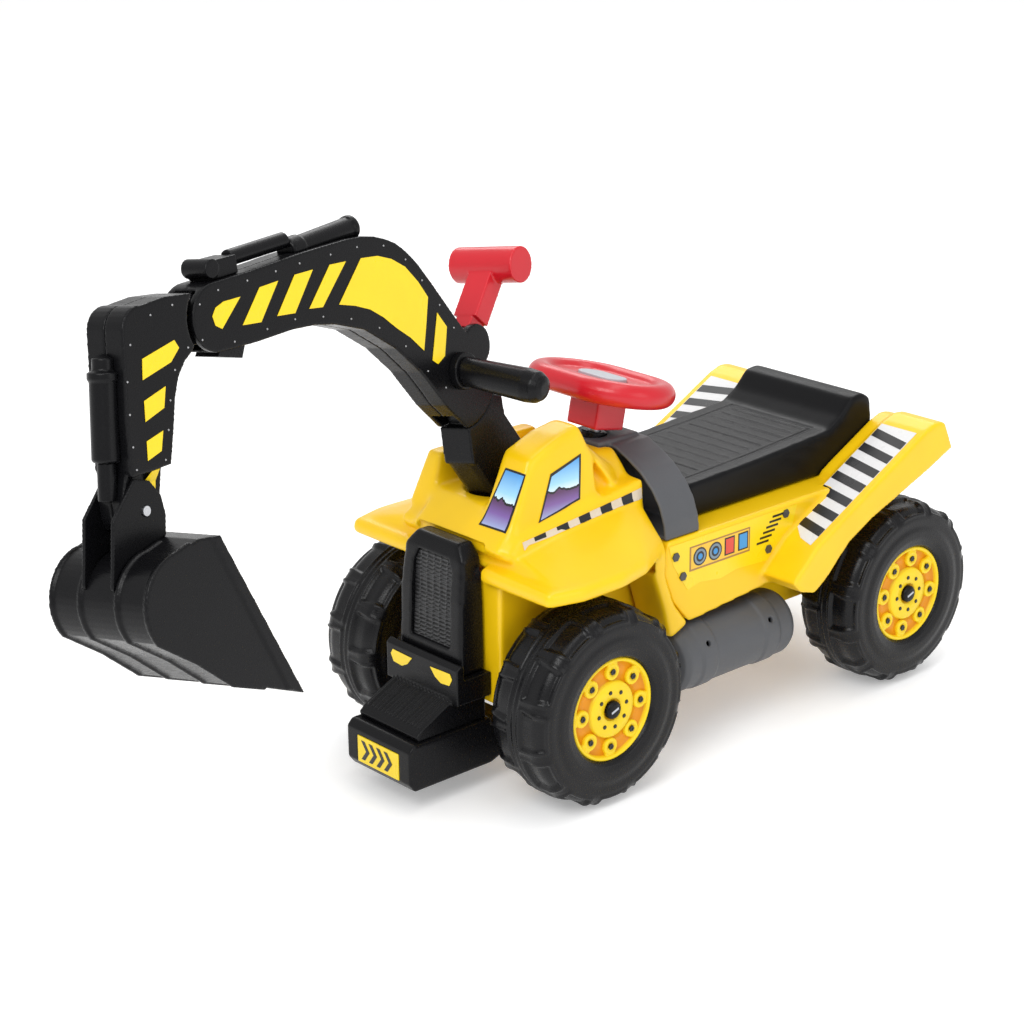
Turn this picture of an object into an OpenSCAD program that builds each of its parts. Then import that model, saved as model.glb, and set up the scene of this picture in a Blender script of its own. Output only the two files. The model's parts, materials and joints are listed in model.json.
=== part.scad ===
// Ride-on toy digger: a moulded body on four wheels, a seat, a steering wheel and a
// digger arm that swings on a leaning post and is worked by a red hand lever.
// Front is -Y, the rider's left is +X, up is +Z, and the ground is at Z = 0.

/* [Wheels] */
// Outside diameter of a tyre
tyre_d = 190; // [188:1:192]
// Width of a tyre
tyre_w = 76; // [74:1:76]
// Distance between the front and rear axles
wheelbase = 420; // [418:1:424]
// Distance between the middles of the left and right tyres
track = 242; // [242:1:246]
// Diameter of an axle rod
axle_d = 10; // [8:0.5:11]
// Number of lug pockets on each shoulder of a tyre
lug_count = 12; // [10:1:14]

/* [Body] */
// Half the width of the middle tub between the wheels
tub_half = 64; // [62:1:65]
// Wall thickness of the moulded shells
wall = 3; // [2.5:0.5:3]
// Distance from the middle of the machine to the outside of a side panel
panel_half = 107; // [106:1:108]
// Distance from the middle of the machine to the outside of a rear fender
fender_half = 150; // [146:1:150]

/* [Steering] */
// Width of the oval steering wheel
steer_w = 156; // [140:1:160]
// Depth of the oval steering wheel
steer_d = 112; // [100:1:116]
// Lean of the steering column towards the rider, in degrees
steer_lean = 12; // [10:1:15]

/* [Digger arm] */
// How far the arm is swung to the rider's left at rest, in degrees
arm_swing = 15; // [12:1:18]
// Lean of the swivel post towards the front, in degrees
post_lean = 35; // [34:1:36]
// Width of the boom across its two shells
boom_w = 36; // [34:1:36]
// Width of the stick across its two shells
stick_w = 40; // [39:1:41]
// Width of the bucket
bucket_w = 108; // [100:1:112]
// Length of the lever's cross grip
grip_l = 72; // [60:1:80]

/* [Hidden] */

fit = 0.05;              // radial clearance of every running fit
gap = 0.4;               // clearance between faces that move past each other
middle_y = 206.9;        // the machine's middle lies this far ahead of the wheelbase's
wheel_r = tyre_d / 2;
axle_r = axle_d / 2;
bead_r = 50;             // where a tyre seats on its hub
hub_face = 33;           // hub rim, measured from the middle of the tyre
shoulder_r = 16;
wheel_x = track / 2;
wheel_y = wheelbase / 2;
deck_z = 214;            // level that the seat stands on
hood_front = -268;
seat_half = 75;
grille_half = 46;        // at the foot of the grille; it narrows by 6 towards its top
grille_top = 241;

steer_at = [0, -79, 337];
horn_travel = 3;

post_at = [-12, -193, 273];
arm_zero = [-180, 270];  // the post's foot in the arm's own drawing plane, as Y and Z
post_axis = [0, -sin(post_lean), cos(post_lean)];
post_r = 22;
socket_r = 33;
pocket_r = 36;
socket_l = 38;

elbow = [-545, 498];     // hinge of the stick, as Y and Z in the arm's own plane
elbow_r = 28;
neck_half = 11;          // half thickness of the stick's neck in the boom's fork
hinge_at = [-246, 388];  // hinge that lifts the boom, with the side handle on its axis
hinge_r = 5;
hinge_up = [
    (hinge_at[0] - arm_zero[0]) * cos(post_lean) + (hinge_at[1] - arm_zero[1]) * sin(post_lean),
    (hinge_at[1] - arm_zero[1]) * cos(post_lean) - (hinge_at[0] - arm_zero[0]) * sin(post_lean)
];
end_r = 54;              // the base's shoulder is round about that hinge
base_half = 12;
lever_at = [-217, 405];
lever_r = 17;
lever_half = 10;
ear_r = 20;
grip_at = [-160, 469];
grip_r = 17;
crank = [-5.5, 15];      // from the lever's pivot to the pull rod, and the same at the elbow
crank_pin_r = 2.5;
open_gap = 0.6;          // the pull rod is a loose fit on the stick's link pin
bucket_at = [-655, 368];
pin_r = 4;

// ---------- helpers ----------

// lays a Y-Z outline flat and extrudes it along X from x0 to x1
module slab(x0, x1) {
    translate([x0, 0, 0]) rotate([90, 0, 90]) linear_extrude(x1 - x0) children();
}

// the same piece on both sides of the machine
module both() {
    children();
    mirror([1, 0, 0]) children();
}

// a rod along X between x0 and x1, through a point given as Y and Z
module rod_x(at, r, x0, x1) {
    translate([x0, at[0], at[1]]) rotate([0, 90, 0]) cylinder(r = r, h = x1 - x0, $fn = 48);
}

// puts a piece drawn about the wheelbase's middle into the machine's own frame
module placed() {
    translate([0, middle_y, 0]) children();
}

// carries a piece drawn in the arm's upright plane to where the arm is swung
module on_arm() {
    placed() translate(post_at) rotate(a = arm_swing, v = post_axis)
        translate([0, -arm_zero[0], -arm_zero[1]]) children();
}

// a wheel's own frame: +Z points outboard, the origin is the middle of the tyre
module at_wheel(side, end) {
    placed() translate([side * wheel_x, end * wheel_y, wheel_r])
        rotate([0, side * 90, 0]) children();
}

// the swivel post's own frame, +Z up along its axis
module at_post() {
    rotate([post_lean, 0, 0]) children();
}

// the same frame inside the arm's drawing plane
module at_arm_post() {
    translate([0, arm_zero[0], arm_zero[1]]) at_post() children();
}

// the steering column's own frame, +Z up along its axis
module at_column() {
    placed() translate(steer_at) rotate([-steer_lean, 0, 0]) children();
}

function arc(cy, cz, r, a0, a1, n) =
    [for (i = [0:n]) [cy + r * cos(a0 + (a1 - a0) * i / n), cz + r * sin(a0 + (a1 - a0) * i / n)]];

// ---------- wheels ----------

module tyre(side, end) {
    half = tyre_w / 2;
    skin = 5;
    outer = concat(
        [[bead_r, -half + 6], [bead_r + 10, -half]],
        arc(wheel_r - shoulder_r, -half + shoulder_r, shoulder_r, -90, 0, 10),
        arc(wheel_r - shoulder_r, half - shoulder_r, shoulder_r, 0, 90, 10),
        [[bead_r + 10, half], [bead_r, half - 4]]
    );
    inner = concat(
        [[bead_r, half - 9], [bead_r + 10, half - skin]],
        arc(wheel_r - shoulder_r, half - shoulder_r, shoulder_r - skin, 90, 0, 6),
        arc(wheel_r - shoulder_r, -half + shoulder_r, shoulder_r - skin, 0, -90, 6),
        [[bead_r + 10, -half + skin], [bead_r, -half + 11]]
    );
    color([0.07, 0.07, 0.075]) at_wheel(side, end) difference() {
        rotate_extrude($fn = 96) polygon(concat(outer, inner));
        for (i = [0:lug_count - 1], s = [-1, 1])
            rotate([0, 0, (i + (s > 0 ? 0.5 : 0)) * 360 / lug_count])
                translate([wheel_r - 2.5, -14, s > 0 ? 8 : -29])
                    cube([10, 28, 21]);
    }
}

module hub(side, end) {
    boss_ring = 36.8;
    web = 25;
    color([0.98, 0.80, 0.08]) at_wheel(side, end) difference() {
        union() {
            rotate_extrude($fn = 96) polygon([
                [bead_r - 4, -26], [bead_r, -26], [bead_r, hub_face], [bead_r - 3, hub_face],
                [bead_r - 6, web + 3], [25, web + 3], [24, web + 6], [12, web + 6],
                [12, web - 1], [bead_r - 4, web - 1]
            ]);
            translate([0, 0, -39.5]) cylinder(r = 11, h = web + 42, $fn = 48);
            for (i = [0:7]) rotate([0, 0, 45 * i]) {
                translate([boss_ring, 0, web + 1]) cylinder(r = 6.6, h = 4.4, $fn = 32);
                translate([17.8, 0, web + 1]) cylinder(r = 2.4, h = 6.6, $fn = 24);
            }
        }
        translate([0, 0, -41]) cylinder(r = axle_r + fit, h = 100, $fn = 64);
        for (i = [0:7]) rotate([0, 0, 45 * i])
            translate([boss_ring, 0, web + 3]) cylinder(r = 3, h = 10, $fn = 24);
    }
}

module axle(end) {
    color([0.72, 0.73, 0.75]) placed()
        rod_x([end * wheel_y, wheel_r], axle_r, -wheel_x - 34, wheel_x + 34);
}

module axle_caps() {
    color([0.12, 0.12, 0.13])
        for (side = [-1, 1], end = [-1, 1]) at_wheel(side, end) difference() {
            translate([0, 0, hub_face - 1.5]) cylinder(r = 9, h = 5.5, $fn = 48);
            translate([0, 0, 20]) cylinder(r = axle_r, h = 14, $fn = 64);
            translate([-1, -5, hub_face + 2.8]) cube([2, 10, 3]);
        }
}

// ---------- body ----------

module tub_outline() {
    polygon([
        [-266, 84], [-266, 204], [-98, 204], [-98, deck_z], [232, deck_z],
        [262, 200], [266, 110], [258, 84]
    ]);
}

module panel_outline() {
    polygon([
        [-96, deck_z - 10], [-97, 184], [-84, 152], [-62, 126], [20, 133], [78, 138],
        [120, 176], [168, deck_z], [-90, deck_z]
    ]);
}

module fender_outline() {
    polygon([
        [38, 150], [50, 138], [70, 132], [86, 142], [119, 172], [155, 190], [194, 204],
        [238, 220], [276, 236], [262, 266], [248, 268], [232, 263], [150, 221], [70, 179]
    ]);
}

module axle_sleeve(end) {
    rod_x([end * wheel_y, wheel_r], axle_r + 6, -tub_half - 14, tub_half + 14);
}

module body_shell() {
    color([0.99, 0.80, 0.05]) placed() difference() {
        union() {
            difference() {
                slab(-tub_half, tub_half) tub_outline();
                slab(-tub_half + wall, tub_half - wall) difference() {
                    offset(delta = -wall) tub_outline();
                }
                translate([-tub_half + wall, -266 + wall, 70])
                    cube([2 * (tub_half - wall), 524 - 2 * wall, 30]);
            }
            both() difference() {
                slab(tub_half - 1, panel_half) panel_outline();
                slab(tub_half, panel_half - wall) offset(delta = -wall) panel_outline();
                translate([tub_half, -64, 120]) cube([panel_half - wall - tub_half, 136, 24]);
            }
            both() difference() {
                slab(tub_half + 30, fender_half) fender_outline();
                slab(tub_half + 34, fender_half - wall) offset(delta = -wall) fender_outline();
                slab(tub_half + 34, fender_half - wall)
                    polygon([[74, 120], [86, 150], [119, 180], [194, 212], [262, 236], [262, 200], [120, 150]]);
            }
            both() slab(seat_half + 0.4, tub_half + 31)
                polygon([[150, deck_z - 8], [158, 221], [232, 259], [248, 264], [262, 262],
                    [264, 250], [240, 240], [200, deck_z - 8]]);
            both() slab(tub_half - 1, seat_half + 2)
                polygon([[150, deck_z - 8], [150, deck_z], [232, deck_z], [244, deck_z - 8]]);
            for (end = [-1, 1]) axle_sleeve(end);
        }
        for (end = [-1, 1])
            rod_x([end * wheel_y, wheel_r], axle_r + 0.1, -90, 90);
        both() for (y = [-40, 30]) rod_x([y, 90], 2.2, tub_half - 10, tub_half + 10);
        translate([0, hood_front + 2 - 5, 0]) for (x = [-22, 22], z = [130, 190])
            translate([x, 0, z]) rotate([-90, 0, 0]) cylinder(r = 2.2, h = 20, $fn = 32);
    }
}

module fender_deck_outline(inset) {
    offset(delta = -inset) polygon([
        [-108, -97], [-119, -115], [-139, -150], [-149, -190], [-150, -240], [-145, -257],
        [-140, hood_front - 9], [140, hood_front - 9], [145, -257], [150, -240], [149, -190],
        [139, -150], [119, -115], [108, -97]
    ]);
}

// the fenders swell from their lip up to the middle of the hood
module fender_swell() {
    hull() {
        translate([0, 0, 218]) linear_extrude(2) fender_deck_outline(3);
        translate([0, 0, 226]) linear_extrude(2) fender_deck_outline(14);
        translate([-78, -262, 232]) cube([156, 4, 2]);
        translate([-78, -98, 248]) cube([156, 4, 2]);
    }
}

// the strip that runs from the fender's rear edge down behind the wheel
module fender_leg() {
    polygon([
        [-122, 210], [-114, 184], [-102, 152], [-94, 122], [-90, 117], [-87, 118], [-86.8, 124.2],
        [-64.5, 126.2], [-85, 152], [-97.8, 184], [-96.8, 210]
    ]);
}

// one raised block of the hood: a bottom rectangle hulled to a smaller top one
module block(x0, x1, y0, y1, z0, u0, u1, v0, v1, w0, w1) {
    hull() {
        translate([x0, y0, z0]) cube([x1 - x0, y1 - y0, 1]);
        translate([u0, v0, w0 - 1]) cube([u1 - u0, 1, 1]);
        translate([u0, v1 - 1, w1 - 1]) cube([u1 - u0, 1, 1]);
    }
}

module hood_shell() {
    color([1.0, 0.84, 0.06]) placed() difference() {
        union() {
            translate([0, 0, 205]) linear_extrude(17) fender_deck_outline(0);
            fender_swell();
            block(-76, 76, -266, -92, 234, -73, 73, -246, -92, 249, 270);
            both() slab(tub_half + 0.4, 112) fender_leg();
            block(-56, 56, -170, -92, 262, -34, 34, -160, -92, 302, 291);
            block(-50, 66, -274, -150, 238, -48, 62, -243, -150, 266, 272);
            block(26, 68, -259, -146, 246, 28, 60, -226, -168, 315, 335);
            block(-80, -50, -252, -104, 246, -72, -52, -234, -112, 299, 297);
            translate(post_at) at_post() translate([0, 0, -34])
                cylinder(r = socket_r + 7, h = 36, $fn = 96);
        }
        translate([0, 0, 204]) linear_extrude(14) fender_deck_outline(wall);
        both() slab(tub_half - 4, 112 - wall) offset(delta = -wall) fender_leg();
        translate([-grille_half - 0.6, -310, 200]) cube([2 * grille_half + 1.2, 44, grille_top + 0.6 - 200]);
        translate([-26.5, -106.5, 287.5]) cube([53, 60, 20]);
        translate(steer_at) rotate([-steer_lean, 0, 0]) translate([0, 0, -110]) cylinder(r = 18, h = 80, $fn = 64);
        translate([-80, -246, 204]) cube([160, 154 - wall, 34]);
        translate([-66, -150, 204]) cube([132, 58 - wall, 56]);
        translate([-30, -140, 204]) cube([60, 48 - wall, 84]);
        translate([34, -222, 230]) cube([24, 60, 80]);
        translate(post_at) at_post() {
            translate([0, 0, -60]) cylinder(r = socket_r, h = 90, $fn = 96);
            translate([0, 0, -60]) cylinder(r = socket_r + 4.5, h = 23.4, $fn = 96);
            cylinder(r = pocket_r, h = 150, $fn = 96);
        }
    }
}

module cowl_outline(grow) {
    offset(delta = grow) polygon([
        [-101, 216], [-99, 230], [-93, 246], [-83, 260], [-67, 274], [-49, 284], [-33, 291],
        [33, 291], [49, 284], [67, 274], [83, 260], [93, 246], [99, 230], [101, 216]
    ]);
}

module dash_cowl() {
    color([0.36, 0.37, 0.38]) placed() difference() {
        union() {
            translate([0, -46, 0]) rotate([90, 0, 0]) linear_extrude(45.5) cowl_outline(2);
            translate([-26, -106, 288]) cube([52, 54, 9]);
        }
        translate([0, -46 - wall, 0]) rotate([90, 0, 0]) linear_extrude(60) cowl_outline(-2);
        translate([-120, -140, 190]) cube([240, 100, deck_z + 0.2 - 190]);
        translate([0, steer_at[1], steer_at[2]]) rotate([-steer_lean, 0, 0])
            translate([0, 0, -90]) cylinder(r = 13, h = 90, $fn = 64);
    }
}

module seat() {
    top = [
        [-45, deck_z + 0.2], [223, deck_z + 0.2], [236, 262], [232, 282], [220, 288],
        [206, 286], [190, 270], [172, 259], [60, 253], [-30, 250], [-44, 244]
    ];
    color([0.08, 0.08, 0.085]) placed() difference() {
        slab(-seat_half, seat_half) polygon(top);
        slab(-seat_half + wall + 1, seat_half - wall - 1) difference() {
            offset(delta = -wall - 1) polygon(top);
        }
        translate([-seat_half + 4, -41, deck_z - 1]) cube([2 * seat_half - 8, 260, 8]);
    }
}

// ---------- nose ----------

module grille_body(inset, back) {
    hull() {
        translate([inset - grille_half, inset - 298, 118 + inset])
            cube([2 * (grille_half - inset), 298 - inset + back, 1]);
        translate([inset - grille_half + 6, inset - 290, grille_top - 1 - inset])
            cube([2 * (grille_half - 6 - inset), 290 - inset + back, 1]);
    }
}

module grille_panel() {
    color([0.07, 0.07, 0.075]) placed() difference() {
        grille_body(0, -266.5);
        grille_body(5, -271);
        slab(-28, 28) polygon([[-310, 140], [-310, 226], [-280, 226], [-280, 140]]);
        for (x = [-22, 22], z = [130, 190]) translate([x, -260, z]) rotate([90, 0, 0])
            cylinder(r = 2.2, h = 14, $fn = 32);
    }
}

// the mesh leans back with the grille's front
module grille_mesh() {
    bars = 5;
    color([0.1, 0.1, 0.105]) placed() {
        slab(-27.8, 27.8) polygon([[-293.6, 140.2], [-288.1, 225.8], [-285.1, 225.8], [-290.6, 140.2]]);
        for (i = [1:bars]) translate([-28 + 56 * i / (bars + 1), 0, 0]) slab(-1, 1)
            polygon([[-295.2, 141], [-289.7, 225], [-288, 225], [-293, 141]]);
    }
}

module step_ramp() {
    ribs = 15;
    color([0.09, 0.09, 0.095]) placed() {
        difference() {
            union() {
                slab(-42, 42) polygon([
                    [-348, 68.2], [-350, 73], [-343, 79], [-300, 100], [-266.5, 104], [-266.5, 68.2]
                ]);
                slab(-51, 51) polygon([
                    [-308, 94], [-308, 129], [-303, 133], [-299.4, 131], [-299, 117.4],
                    [-266.5, 117.4], [-266.5, 94]
                ]);
            }
            slab(-39, 39) polygon([[-344, 60], [-344, 72], [-302, 95], [-302, 112], [-270, 112], [-270, 60]]);
        }
        for (i = [0:ribs - 1]) translate([-36 + 72 * i / (ribs - 1) - 1, 0, 0])
            slab(0, 2) polygon([[-343, 78.5], [-343, 81], [-306.5, 99], [-306.5, 96]]);
    }
}

module front_bumper() {
    color([0.08, 0.08, 0.085]) placed() difference() {
        slab(-46, 46) polygon([
            [-356, 22], [-362, 30], [-362, 62], [-356, 68], [-262, 68],
            [-262, 59.6], [-230, 59.6], [-230, 34], [-262, 22]
        ]);
        slab(-43, 43) polygon([[-354, 20], [-359, 31], [-359, 60], [-355, 65], [-265, 65], [-265, 20]]);
        translate([-30, -364, 30]) cube([60, 3, 27]);
    }
}

module bumper_label() {
    color([0.97, 0.83, 0.1]) placed()
        translate([-29.7, -362.6, 30.3]) cube([59.4, 1.5, 26.4]);
}

// ---------- fuel tanks ----------

module left_tank() {
    color([0.4, 0.41, 0.42]) placed() tank_shape();
}

module right_tank() {
    color([0.4, 0.41, 0.42]) placed() mirror([1, 0, 0]) tank_shape();
}

module tank_shape() {
    r = 34;
    at = [92, 88];
    y0 = -86;
    y1 = 74;
    difference() {
        translate([at[0], y0, at[1]]) rotate([-90, 0, 0]) rotate_extrude($fn = 96) polygon([
            [0, 0], [r - 9, 0], [r - 3, 3], [r, 9], [r, 24], [r + 1.5, 26], [r + 1.5, 44], [r, 46],
            [r, 112], [r + 1.5, 114], [r + 1.5, 132], [r, 134], [r, y1 - y0 - 9],
            [r - 3, y1 - y0 - 3], [r - 9, y1 - y0], [0, y1 - y0]
        ]);
        intersection() {
            translate([at[0], y0 + wall + 3, at[1]]) rotate([-90, 0, 0])
                cylinder(r = r - wall - 1, h = y1 - y0 - 2 * wall - 6, $fn = 96);
            translate([tub_half + wall + 0.2, y0, 40]) cube([80, y1 - y0, 100]);
        }
        translate([0, y0 - 1, 40]) cube([tub_half + 0.2, y1 - y0 + 2, 100]);
        for (y = [-51, 37]) translate([at[0], y, at[1]]) rotate([0, 60, 0]) cylinder(r = 3, h = 50, $fn = 32);
    }
    for (y = [-40, 30]) rod_x([y, 90], 2.1, tub_half - 8, tub_half + 2);
}

// ---------- fittings of the body ----------

module swivel_socket() {
    color([0.15, 0.15, 0.16]) placed() translate(post_at) at_post() difference() {
        union() {
            translate([0, 0, -socket_l]) cylinder(r = socket_r - 0.2, h = socket_l - 2, $fn = 96);
            translate([0, 0, -socket_l - 3]) cylinder(r = socket_r + 4, h = 4, $fn = 96);
        }
        translate([0, 0, -60]) cylinder(r = post_r + fit, h = 80, $fn = 96);
    }
}

module column_bush() {
    color([0.2, 0.2, 0.21]) at_column() difference() {
        union() {
            translate([0, 0, -64]) cylinder(r = 12.8, h = 26, $fn = 64);
            translate([0, 0, -68]) cylinder(r = 17, h = 4, $fn = 64);
        }
        translate([0, 0, -70]) cylinder(r = 6 + fit, h = 40, $fn = 64);
    }
}

module body_screws() {
    color([0.6, 0.6, 0.62]) placed() {
        for (x = [-22, 22], z = [130, 190]) translate([x, -262.8, z]) rotate([90, 0, 0]) {
            cylinder(r = 2.1, h = 14, $fn = 32);
        }
        for (x = [-22, 22], z = [130, 190]) translate([x, -260.6, z]) rotate([90, 0, 0])
            cylinder(r = 4.5, h = 2.3, $fn = 32);
    }
}

// ---------- steering ----------

// the oval pad in the middle of the steering wheel
module pad(r, z, h) {
    translate([0, 0, z]) {
        for (x = [-12, 12]) translate([x, 0, 0]) cylinder(r = r, h = h, $fn = 64);
        translate([-12, -r, 0]) cube([24, 2 * r, h]);
    }
}

module steering_wheel() {
    rim_r = 12;
    lobe = steer_d / 2 - rim_r;
    color([0.80, 0.06, 0.08]) at_column() difference() {
        union() {
            for (s = [-1, 1]) translate([s * (steer_w - steer_d) / 2, 0, 8]) {
                rotate([0, 0, s * -90]) rotate_extrude(angle = 180, $fn = 96)
                    translate([lobe, 0]) circle(r = rim_r, $fn = 40);
                translate([0, 0, -8]) cylinder(r = lobe, h = 14, $fn = 96);
            }
            for (s = [-1, 1]) translate([0, s * lobe, 8]) rotate([0, 90, 0])
                translate([0, 0, -(steer_w - steer_d) / 2])
                    cylinder(r = rim_r, h = steer_w - steer_d, $fn = 40);
            translate([-steer_w / 2 + steer_d / 2, -lobe, 0]) cube([steer_w - steer_d, 2 * lobe, 14]);
            translate([-20, -19, -34]) cube([40, 38, 36]);
        }
        pad(15.4, 4, 20);
        translate([0, 0, -34 - 1]) cylinder(r = 8, h = 60, $fn = 64);
        translate([-17, -16, -36]) difference() {
            cube([34, 32, 30]);
            translate([17, 16, -1]) cylinder(r = 11.5, h = 40, $fn = 48);
        }
    }
}

module steering_column() {
    color([0.7, 0.71, 0.72]) at_column() {
        translate([0, 0, -84]) cylinder(r = 6, h = 84, $fn = 64);
        translate([0, 0, -33.8]) cylinder(r = 8, h = 33.8, $fn = 64);
        translate([0, 0, -72.4]) cylinder(r = 10, h = 4, $fn = 64);
    }
}

module horn_button() {
    color([0.85, 0.86, 0.88]) at_column() {
        pad(15, 10, 7);
        translate([0, 0, 8.6]) cylinder(r = 5, h = 3, $fn = 48);
    }
}

module horn_spring() {
    color([0.75, 0.75, 0.77]) at_column() difference() {
        translate([0, 0, 4.2]) cylinder(r = 9, h = 2.5, $fn = 48);
        translate([0, 0, 4]) cylinder(r = 7, h = 6, $fn = 48);
    }
}

// ---------- boom ----------

function boom_crown() = [
    [-222, 411], [-242, 435], [-271, 474], [-285, 492], [-300, 507], [-312, 516], [-325, 522],
    [-340, 527], [-356, 530], [-378, 531], [-437, 530], [-498, 527]
];

module boom_outline() {
    polygon(concat(
        arc(elbow[0], elbow[1], elbow_r, 90, 270, 18),
        [[-500, 469], [-460, 470], [-430, 468], [-404, 463], [-368, 451], [-331, 427],
            [-301, 399], [-272, 362]],
        arc(hinge_at[0], hinge_at[1], end_r - gap, -88, -20, 10),
        boom_crown()
    ));
    translate(lever_at) circle(r = ear_r, $fn = 64);
}

// the part of a disc about the elbow that the stick's neck sweeps through
module neck_sweep(reach) {
    polygon(concat([elbow], arc(elbow[0], elbow[1], reach, 118, 258, 14)));
}

// one tray-shaped half of the boom, open towards the middle
module boom_half() {
    difference() {
        slab(0.05, boom_w / 2) boom_outline();
        slab(-1, boom_w / 2 - wall) offset(delta = -wall) boom_outline();
        rod_x(lever_at, ear_r + 1, -1, lever_half + 1);
        slab(-1, neck_half + 1) neck_sweep(elbow_r + 10);
        slab(-1, base_half + 0.6) polygon(concat(
            [hinge_at], arc(hinge_at[0], hinge_at[1], end_r + 12, -106, -40, 8)));
        slab(-1, 3.5) polygon([[-215, 410], [-215, 434], [-262, 434], [-262, 410]]);
        rod_x(hinge_at, hinge_r + 0.02, -1, boom_w);
        rod_x(lever_at, pin_r + 0.02, -1, boom_w / 2 - 2);
        rod_x(elbow, pin_r + 0.02, -1, boom_w);
    }
    difference() {
        union() {
            rod_x(elbow, pin_r + 4, neck_half + 0.6, boom_w / 2 - 1);
            rod_x(lever_at, pin_r + 4, lever_half + 0.6, boom_w / 2 - 1);
            rod_x(hinge_at, hinge_r + 4, base_half + 0.6, boom_w / 2 - 1);
        }
        rod_x(hinge_at, hinge_r + 0.02, -1, boom_w);
        rod_x(lever_at, pin_r + 0.02, -1, boom_w / 2 - 2);
        rod_x(elbow, pin_r + 0.02, -1, boom_w);
    }
}

module boom_left_shell() {
    color([0.10, 0.10, 0.105]) on_arm() boom_half();
}

module boom_right_shell() {
    color([0.10, 0.10, 0.105]) on_arm() mirror([1, 0, 0]) boom_half();
}

// the base's side view in the post's frame, with the hinge above it
module base_outline() {
    polygon(concat(
        [[-30, 4.2], [-33.5, 20], [-33.2, 62]],
        arc(hinge_up[0], hinge_up[1], end_r, -122, -70, 10),
        [[40, 72], [33, 60], [33.5, 20], [30, 4.2]]
    ));
}

module boom_base() {
    strap = 9;
    color([0.09, 0.09, 0.095]) on_arm() at_arm_post() difference() {
        union() {
            intersection() {
                difference() {
                    slab(-boom_w / 2 + 1, boom_w / 2 - 1) base_outline();
                    slab(-boom_w / 2 + 1 + wall, boom_w / 2 - 1 - wall) offset(delta = -wall) base_outline();
                }
                union() {
                    cylinder(r = pocket_r - 1, h = 61.3, $fn = 96);
                    translate([-40, -60, 58.3]) cube([80, 120, 60]);
                }
            }
            translate([0, 0, -socket_l - 12]) cylinder(r = post_r, h = socket_l + 18, $fn = 96);
            translate([0, 0, -1.6]) cylinder(r = 30, h = 6.6, $fn = 96);
            rod_x(hinge_up, 11.5, -base_half, base_half);
            translate([0, hinge_up[0], hinge_up[1]]) rotate([-15, 0, 0])
                translate([-base_half + 0.5, -strap, -end_r - 4]) cube([2 * base_half - 1, 2 * strap, end_r - 5]);
        }
        rod_x(hinge_up, hinge_r + fit, -20, 20);
        translate([0, 0, -socket_l - 13]) cylinder(r = post_r - 5, h = socket_l + 9, $fn = 64);
    }
}

module hinge_pin() {
    color([0.7, 0.71, 0.72]) on_arm() rod_x(hinge_at, hinge_r, -boom_w / 2, boom_w / 2);
}

module post_clip() {
    color([0.7, 0.71, 0.72]) on_arm() at_arm_post() difference() {
        translate([0, 0, -socket_l - 7]) cylinder(r = 30, h = 3, $fn = 96);
        translate([0, 0, -socket_l - 8]) cylinder(r = post_r, h = 6, $fn = 96);
    }
}

module boom_cylinder() {
    color([0.08, 0.08, 0.085]) on_arm() difference() {
        translate([0, -346, 537]) rotate([94, 0, 0]) rotate_extrude($fn = 64) polygon([
            [0, 0], [8, 0], [11, 3], [11, 8], [10, 9], [10, 72], [11.5, 74], [11.5, 87], [10, 89], [0, 89]
        ]);
        slab(-20, 20) boom_outline();
    }
}

module boom_piston_rod() {
    color([0.11, 0.11, 0.115]) on_arm() difference() {
        translate([0, -435.6, 541]) rotate([92, 0, 0]) cylinder(r = 7, h = 70, $fn = 64);
        slab(-20, 20) boom_outline();
    }
}

module boom_knuckle() {
    color([0.08, 0.08, 0.085]) on_arm() difference() {
        union() {
            translate([-12, -540, 520]) cube([24, 33, 22]);
            rod_x([-538, 536], 8, -14, 14);
        }
        slab(-20, 20) offset(delta = 0.05) boom_outline();
    }
}

module tip_stop() {
    color([0.08, 0.08, 0.085]) on_arm() difference() {
        slab(-13, 13) polygon([[-540, 474], [-546, 466], [-518, 459], [-510, 474]]);
        slab(-20, 20) offset(delta = 0.05) boom_outline();
    }
}

module elbow_pin() {
    color([0.7, 0.71, 0.72]) on_arm() rod_x(elbow, pin_r, -boom_w / 2, boom_w / 2);
}

module lever_pin() {
    color([0.7, 0.71, 0.72]) on_arm() rod_x(lever_at, pin_r, -boom_w / 2 + 2, boom_w / 2 - 2);
}

module handle_collar() {
    color([0.12, 0.12, 0.125]) on_arm() rod_x(hinge_at, 17, boom_w / 2 + 0.05, boom_w / 2 + 8);
}

module side_handle() {
    droop = 10;
    color([0.07, 0.07, 0.075]) on_arm() difference() {
        translate([boom_w / 2 + 5, hinge_at[0], hinge_at[1]]) rotate([0, 90 + droop, 0])
            rotate_extrude($fn = 96) polygon([
                [0, 0], [13.5, 0], [13.5, 8], [14.5, 40], [15.5, 70], [14.5, 80], [11, 86],
                [6, 88], [0, 88]
            ]);
        translate([0, hinge_at[0] - 30, hinge_at[1] - 30]) cube([boom_w / 2 + 8.05, 60, 60]);
    }
}

module boom_screws() {
    color([0.55, 0.55, 0.57]) on_arm()
        for (at = [[-480, 481], [-395, 477], [-322, 432], [-285, 402]])
            rod_x(at, 2.6, -boom_w / 2 + wall + 0.05, boom_w / 2 - wall - 0.05);
}

// ---------- lever ----------

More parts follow.
